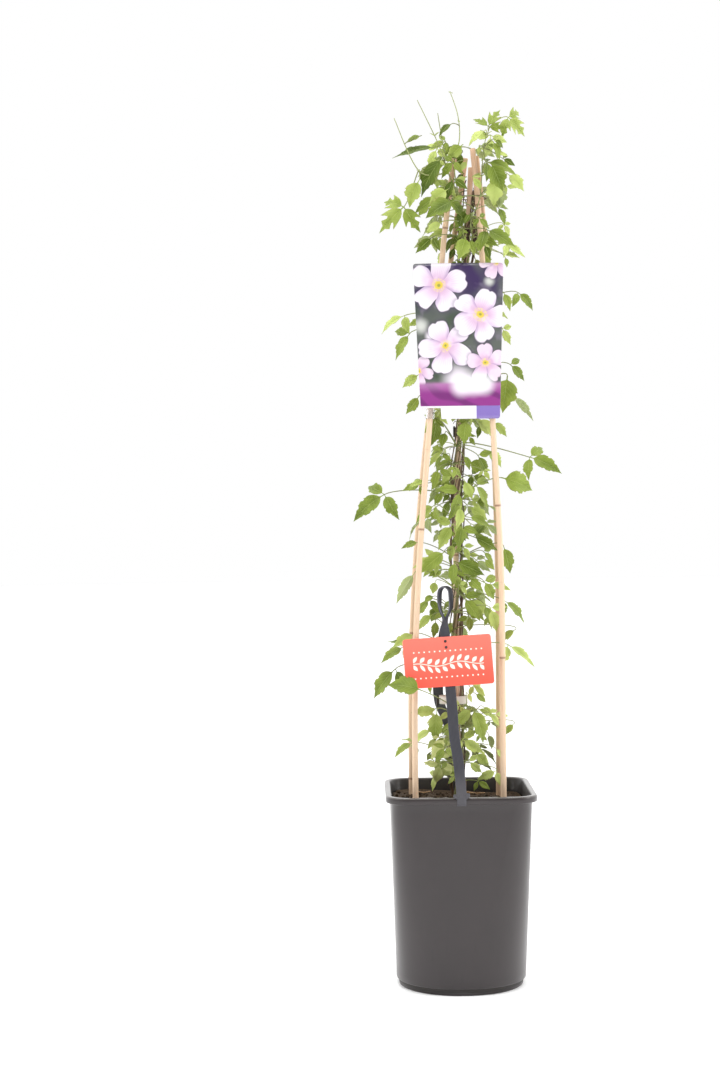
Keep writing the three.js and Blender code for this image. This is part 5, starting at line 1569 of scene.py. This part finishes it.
# %% Strap
steps = np.diff(route[:, :3], axis=0)
steps /= np.linalg.norm(steps, axis=1)[:, None]
rings, marks = [], []
for i, (x, y, z, width, twist) in enumerate(route):
    behind, ahead = steps[max(i - 1, 0)], steps[min(i, len(steps) - 1)]
    tangent = unit(ahead + behind)
    across = np.array([math.cos(math.radians(twist)), math.sin(math.radians(twist)), 0])
    across = unit(across - tangent * (across @ tangent))
    through = np.cross(tangent, across)
    mitre = 1 / max(0.6, math.sqrt((1 + ahead @ behind) / 2))
    gather = max(0.0, 1 - width / FULL_WIDTH) if z > GATHERED_FROM else 0.0
    fold = FOLD_DEPTH * gather * np.cos(3 * math.pi * section[:, 0])
    offset = section[:, 1] * STRAP_THICKNESS / 2 * mitre + fold
    centre = np.array([x, y, z])
    rings.append(centre + np.outer(section[:, 0] * width / 2, across) + np.outer(offset, through))
    marks.append(np.column_stack([section, np.full(len(section), z)]))
strap = one(skin(np.array(rings)), band=np.concatenate(marks))
make_piece("strap_band", strap, strap_finish, "strap_plastic", "carry_strap")

# %% [markdown]
# ## Hanging card
# The card is punched from coloured plastic sheet, with rounded corners, and hangs on two studs. Its
# print is a plain pattern made from distances in the shader: a wavy stem with paired leaves and dots.

# %% Card form
lean = math.atan(CARD_LEAN)
card_frame = Matrix.Translation(CARD_CENTRE) @ Matrix.Rotation(math.pi / 2 - lean, 4, "X")
card_frame = np.array(card_frame @ Matrix.Rotation(math.radians(CARD_TILT), 4, "Z"))


def in_card_frame(points):
    return points @ card_frame[:3, :3].T + card_frame[:3, 3]


def rounded_outline(width, height, corner, steps=10):
    """An outline in x and y, counter-clockwise, with quarter rounds."""
    outline = []
    for quarter, (sx, sy) in enumerate([(1, 1), (-1, 1), (-1, -1), (1, -1)]):
        for k in range(steps + 1):
            angle = (quarter + k / steps) * math.pi / 2
            outline.append((
                sx * (width / 2 - corner) + corner * math.cos(angle),
                sy * (height / 2 - corner) + corner * math.sin(angle),
            ))
    return np.array(outline)


def plate_rings(width, height, corner, levels):
    """Rings of a flat plate, from back to front: each level is an inset and a height."""
    rings = []
    for inset, level in levels:
        outline = rounded_outline(width - 2 * inset, height - 2 * inset, corner)
        rings.append(np.column_stack([outline, np.full(len(outline), level)]))
    return np.array(rings)


print("card leans back by", round(math.degrees(lean), 1), "degrees")

# %% Card finish
STEM_Z, LEAF_STEP, DOT_STEP = -3.0, 10.0, 7.0  # the printed stem's height, and steps along it
card_finish = Finish("salmon_card", Coat_Weight=0.08, Coat_Roughness=0.3)
card_mark = card_finish.mark("card")
card_x, card_z, card_side = card_mark.part("X"), card_mark.part("Y"), card_mark.part("Z")
off_stem = card_z - STEM_Z - (card_x / 9.0).of("SINE") * 2.4
stem_line = card_finish.rise(abs(off_stem), 0.75, 0.35)
cell = (card_x / LEAF_STEP).of("FRACT") * LEAF_STEP - LEAF_STEP / 2
out = abs(off_stem) - 5.4
slant = cell * 0.78 - out * 0.62
long_way = cell * 0.62 + out * 0.78
leaf_shape = card_finish.rise(abs(slant) - 2.3 * (1.0 - long_way * long_way / 27.0), 0.3, -0.3)
leaf_shape = leaf_shape * card_finish.rise(abs(long_way), 5.6, 5.2)
dot_x = (card_x / DOT_STEP).of("FRACT") * DOT_STEP - DOT_STEP / 2
dot_z = abs(card_z - STEM_Z) - 17.5
dots = card_finish.rise((dot_x * dot_x + dot_z * dot_z) ** 0.5, 1.25, 0.95)
print_share = (stem_line + leaf_shape + dots) * card_finish.rise(abs(card_x), 47.5, 47.0)
print_share = print_share * card_finish.rise(card_side, 0.2, 0.4)
card_colour = card_finish.overlay(
    card_finish.blend(card_finish.rise(card_z, -34, 34), shade(240, 90, 72), shade(248, 116, 100)),
    (card_finish.rise(print_share, 0.0, 1.0) * 0.94, shade(255, 238, 226)),
    (card_finish.rise(abs(card_x), 59.0, 59.4) * 0.5, shade(255, 196, 184)),
)
card_finish.paint(Base_Color=card_colour, Roughness=0.42 + card_finish.grain(300) * 0.06)

# %% Card
CARD_CORNER = 4
flat_rings = plate_rings(CARD_WIDTH, CARD_HEIGHT, CARD_CORNER, [(0.2, -0.4), (0, -0.2), (0, 0.2), (0.2, 0.4)])
marks = flat_rings.copy()
marks[:, :, 2] = np.array([0, 0, 1, 1])[:, None]  # 0 on the back and 1 on the printed face
points, faces = skin(flat_rings)
card = one((in_card_frame(points), faces), card=marks.reshape(-1, 3))
make_piece("salmon_card", card, card_finish, "card", "hang_card", flat=True)

# %% [markdown]
# Two small studs with domed heads hold the card to the strap. A stud is a profile of radii and heights,
# turned round its own axis like work on a lathe.

# %% Studs of the card
STUD_PROFILE = [
    (1.1, -0.56), (1.1, 0.8), (1.9, 0.8), (2.0, 0.95), (1.85, 1.3), (1.45, 1.6), (0.8, 1.78), (0.3, 1.8),
]
stud_finish = Finish("dark_stud", Roughness=0.4)
stud_finish.paint(Base_Color=stud_finish.blend(stud_finish.grain(400), shade(52, 38, 38), shade(74, 56, 54)))
for number, (x, y) in enumerate([(-2.1, 27.3), (-1.6, 19.2)], start=1):
    points, faces = skin(np.array([np.array([x, y, h]) + r * circle(24) for r, h in STUD_PROFILE]))
    stud = one((in_card_frame(points), faces))
    make_piece(f"stud_{number}", stud, stud_finish, "dark_plastic", f"card_stud_{number}")

# %% [markdown]
# ## Picture label
# The label is a long printed plastic sheet, bowed a little. Its art here is made up: open flowers with
# five petals, before soft spots of light, on a ground that runs from violet at the top to green. Below
# them lie a magenta band and a pale strip. All of it is painted in layers, from the back to the front,
# with distances in the shader.

# %% Label ground
label_finish = Finish("printed_label", Coat_Weight=0.35, Coat_Roughness=0.12)
label_mark = label_finish.mark("label")
label_x, label_z, label_side = label_mark.part("X"), label_mark.part("Y"), label_mark.part("Z")
wave_x, wave_z = label_finish.grain(34, 1.0) - 0.5, label_finish.grain(30, 1.0, (1, 1, 1.4)) - 0.5
haze, mist = label_finish.grain(20, 1.0), label_finish.grain(60, 2.0)
ground = label_finish.overlay(
    shade(66, 80, 62),
    (label_finish.rise(label_z + haze * 60, 930, 985), shade(54, 36, 80)),
    (label_finish.rise(haze, 0.44, 0.6) * 0.8, shade(92, 96, 92)),
    (label_finish.rise(mist, 0.5, 0.75) * 0.45, shade(140, 128, 150)),
)


def glow(ground, x, z, radius, colour):
    """A soft bright spot. On the ground it is print, like a flower far out of focus; over the bands it is a
    painted reflection, the glare of a lamp.
    """
    far = ((label_x - x) ** 2.0 + (label_z - z) ** 2.0) ** 0.5 / radius
    return label_finish.blend(label_finish.rise(far, 1.0, 0.1), ground, colour)


PALE, PINK, MILKY = shade(228, 219, 230), shade(222, 202, 218), shade(196, 198, 192)
GLOWS = [(-46, 900, 15, MILKY), (-34, 886, 9, PALE), (4, 826, 30, PALE), (48, 960, 10, MILKY)]
for row in GLOWS:
    ground = glow(ground, *row)
print(len(GLOWS), "soft spots on the label")

# %% [markdown]
# A flower compares the distance from its middle with a reach that swings with the angle, so that the
# edge of the shape has petals. The angle, cut into five equal parts, also says how far round its own
# petal a point lies. From that come the veins and the shadow where the next petal covers this one.

# %% Label flowers
PETALS = 5


def blossom(ground, x, z, radius, turn, tint):
    """Paints one open flower over the ground. Each petal is tucked under the next one."""
    rise = label_finish.rise
    dx, dz = label_x - x + wave_x * (0.34 * radius), label_z - z + wave_z * (0.34 * radius)
    far = (dx * dx + dz * dz) ** 0.5 / radius
    round_petal = (dz.of("ARCTAN2", dx) * (PETALS / (2 * math.pi)) + turn).of("FRACT")
    aside = abs(round_petal - 0.5)
    reach = 1.0 - (aside * 2) ** 3.4 * 0.5 - rise(aside, 0.09, 0.0) * 0.05
    ground = label_finish.blend(rise(far - reach, 0.2, -0.06) * 0.5, ground, shade(66, 52, 82))
    vein = rise((round_petal * 64.0).of("SINE"), 0.2, 1.0)
    petal = label_finish.overlay(
        label_finish.blend(rise(far, 0.1, 0.75), shade(204, 164, 196), tint),
        (vein * rise(far, 1.0, 0.3) * 0.3, shade(184, 146, 190)),
        (rise(round_petal, 0.26, 0.0) * rise(far, 0.1, 0.4) * 0.6, shade(156, 124, 172)),
        (rise(mist, 0.5, 0.7) * 0.4, shade(240, 230, 242)),
    )
    return label_finish.overlay(
        label_finish.blend(rise(far - reach, 0.03, -0.03), ground, petal),
        (rise(label_finish.grain(950, 1.0), 0.5, 0.58) * rise(far, 0.27, 0.2), shade(232, 216, 120)),
        (rise(far, 0.16, 0.1), shade(214, 190, 74)),
        (rise(far, 0.07, 0.03), shade(150, 150, 70)),
    )


BLOSSOMS = [  # x, z, radius, turn, tint
    (58, 986, 24, 0.1, PINK), (-50, 838, 22, 0.7, PINK), (-22, 956, 39, 0.35, PALE),
    (-12, 872, 36, 0.9, PALE), (34, 914, 38, 0.55, PALE), (42, 848, 27, 0.2, PINK),
]
for row in BLOSSOMS:
    ground = blossom(ground, *row)
print(len(BLOSSOMS), "flowers on the label")

# %% Label bands
BAND_TOP, STRIP_TOP = 822, 790.5
band_wave = (label_x / 9.0 + label_z / 5.0 + haze * 8.0).of("SINE")
magenta = label_finish.overlay(
    shade(138, 50, 130),
    (label_finish.rise(band_wave, 0.2, 0.95) * 0.7, shade(100, 34, 100)),
    (label_finish.rise(label_z, 806, 824) * 0.35, shade(226, 180, 220)),
)
strip = label_finish.blend(label_finish.rise(label_x, 27.4, 28.0), shade(232, 230, 236), shade(128, 108, 178))
art = label_finish.blend(label_finish.rise(label_z, BAND_TOP - 3, BAND_TOP + 3), magenta, ground)
art = label_finish.blend(label_finish.rise(label_z, STRIP_TOP - 0.3, STRIP_TOP + 0.3), strip, art)
for x in (8, 24, 38):  # the glare of a lamp on the sheet
    art = glow(art, x, 817 + x * 0.08, 21, shade(240, 236, 242))
art = label_finish.overlay(
    art,
    (label_finish.rise(label_z, STRIP_TOP + 0.3, STRIP_TOP - 0.3), strip),
    (label_finish.rise(label_side, 0.6, 0.4), shade(226, 222, 230)),
)
label_finish.paint(Base_Color=art, Roughness=0.3 + mist * 0.08)

# %% [markdown]
# The sheet is a grid of columns that lean with its tapered sides. Its lower left part ends higher, to
# leave room for the sleeve, so columns on both sides of that step lie close together, and the two
# ends of each column are drawn in near the corners to round them.

# %% Label sheet
LABEL_CORNER, LABEL_MEAN_WIDTH, LABEL_ROWS = 3.5, 115, 44
columns = np.concatenate([[0, 0.006, 0.014, 0.028], np.linspace(0.06, 0.94, 38), [0.972, 0.986, 0.994, 1]])
step_share = (LABEL_STEP_X - LABEL_X_BOTTOM[0]) / (LABEL_X_BOTTOM[1] - LABEL_X_BOTTOM[0])
columns = np.sort(np.append(columns, [step_share - 0.003, step_share + 0.003]))
front, marks = [], []
for share in columns:
    from_edge = min(share, 1 - share) * LABEL_MEAN_WIDTH
    inset = LABEL_CORNER - math.sqrt(LABEL_CORNER**2 - max(0.0, LABEL_CORNER - from_edge) ** 2)
    low = (LABEL_STEP if share < step_share else LABEL_BOTTOM) + inset
    z = np.linspace(low, LABEL_TOP - inset, LABEL_ROWS)
    up = (z - LABEL_BOTTOM) / (LABEL_TOP - LABEL_BOTTOM)
    x = mix(mix(*LABEL_X_BOTTOM, share), mix(*LABEL_X_TOP, share), up)
    front.append(np.stack([x, label_y(x, z) - PLATE / 2, z], -1))
    marks.append(np.stack([x, z, np.ones(LABEL_ROWS)], -1))
front, marks = np.array(front), np.concatenate(marks)
label = one(sheet(front, front - FRONT * PLATE), label=np.concatenate([marks, marks * (1, 1, 0)]))
make_piece("label_sheet", label, label_finish, "label", "picture_label")

# %% [markdown]
# ## Sleeve, band, clip and tie
# Small ties hold the plant to its canes: a clear sleeve that grips the cane behind the label, a pale
# band with a dark buckle low down, a dark clip under the label, and a twisted tie near the tips.

# %% Sleeve
SLEEVE = {"low": 773.5, "high": 787, "inner": 5.1, "outer": 5.9, "edge": 0.5, "round": 0.1}
sleeve_finish = Finish("clear_sleeve", Transmission_Weight=0.9, IOR=1.4, Roughness=0.12)
sleeve_finish.paint(
    Base_Color=sleeve_finish.blend(sleeve_finish.grain(200), shade(236, 236, 240), shade(250, 250, 252))
)
wall = np.linspace(SLEEVE["low"] + SLEEVE["edge"], SLEEVE["high"] - SLEEVE["edge"], 6)
near, far = SLEEVE["inner"] + SLEEVE["round"], SLEEVE["outer"] - SLEEVE["round"]
rows = [(SLEEVE["low"], near), (SLEEVE["low"], far), *((z, SLEEVE["outer"]) for z in wall)]
rows += [(SLEEVE["high"], far), (SLEEVE["high"], near), *((z, SLEEVE["inner"]) for z in wall[::-1])]
rings = np.array([cane_ring(cane_lines["cane_front_left"], z, radius, 40) for z, radius in rows])
make_piece("cane_sleeve", one(skin(rings, looped=True)), sleeve_finish, "clear_plastic", "label_sleeve")


# %% Rings round the stems
def ring_band(ring, count):
    """A flat band with soft edges along a ring's middle line."""
    half_high, half_thick = ring["height"] / 2, ring["thick"] / 2
    section = [(-1, -0.7), (-0.9, -1), (0.9, -1), (1, -0.7), (1, 0.7), (0.9, 1), (-0.9, 1), (-1, 0.7)]
    rows = [
        ring_line(ring, count, through * half_thick) + UP * (rise * half_high) for through, rise in section
    ]
    return skin(np.array(rows).transpose(1, 0, 2), looped=True)


def block(centre, size, corner=0.5, soft=0.3):
    """A small block with rounded upright edges and softened ends, as rings from low to high."""
    width, depth, half_high = size[0], size[1], size[2] / 2
    levels = [(soft, -half_high), (0, soft - half_high), (0, half_high - soft), (soft, half_high)]
    points, faces = skin(plate_rings(width, depth, corner, levels))
    return points + np.array(centre), faces


# %% Pale band
band_finish = Finish("translucent_band", Transmission_Weight=0.25, IOR=1.4)
milk = band_finish.grain(150, 3.0)
band_finish.paint(
    Base_Color=band_finish.blend(milk, shade(222, 216, 206), shade(242, 238, 232)),
    Roughness=0.28 + milk * 0.2,
)
band_finish.emboss(milk, 0.4)
make_piece("pale_stem_band", one(ring_band(STEM_BAND, 72)), band_finish, "clear_plastic", "stem_band")

# %% Buckle and clip
dark_finish = Finish("dark_tie_plastic")
dark_grain = dark_finish.grain(500, 3.0)
dark_finish.paint(
    Base_Color=dark_finish.blend(dark_grain, shade(34, 30, 28), shade(58, 52, 46)),
    Roughness=0.5 + dark_grain * 0.15,
)
BUCKLE_HEIGHT = 388
buckle_x = STEM_BAND["centre"][0] - STEM_BAND["across"] - STEM_BAND["thick"] / 2 - GAP - 1.7
buckle = one(block((buckle_x, 0, BUCKLE_HEIGHT), (3.0, 7, 15)))
for off in (-5.5, -2.5, 0.5, 3.5, 6):
    buckle.add(block((buckle_x, 0, BUCKLE_HEIGHT + off), (3.4, 6.4, 1.1), 0.4))
make_piece("small_buckle", buckle, dark_finish, "dark_plastic", "band_buckle")

clip = one(ring_band(STEM_CLIP, 64))
latch_x = ring_line(STEM_CLIP, 16)[8][0] - 1.2
clip.add(block((latch_x, -1, CLIP_HEIGHT), (2.6, 5, 15), 0.6))
for off in (-5, -2, 1, 4):
    clip.add(block((latch_x - 0.2, -1, CLIP_HEIGHT + off), (2.6, 3.6, 1.4), 0.4))
make_piece("vine_clip", clip, dark_finish, "dark_plastic", "stem_clip")

# %% Twisted tie
TIE_STEPS, TIE_TWISTS, STRAND_ORBIT, STRAND_RADIUS = 240, 30, 0.42, 0.5
round_tie = np.arange(TIE_STEPS + 1) % TIE_STEPS
middle, ways = ring_line(TOP_TIE, TIE_STEPS)[round_tie], circle(TIE_STEPS)[round_tie]
tie = Clump()
for phase in (0, math.pi):
    twist = np.arange(TIE_STEPS + 1)[:, None] / TIE_STEPS * 2 * math.pi * TIE_TWISTS + phase
    line = middle + STRAND_ORBIT * (np.cos(twist) * ways + np.sin(twist) * UP)
    tie.add(tube(line, [STRAND_RADIUS] * len(line), 8))
tie_finish = Finish("brown_twist_tie", Roughness=0.65)
tie_finish.paint(Base_Color=tie_finish.blend(tie_finish.grain(400), shade(70, 54, 40), shade(112, 92, 62)))
make_piece("twisted_tie", tie, tie_finish, "dark_plastic", "cane_tie_ring")
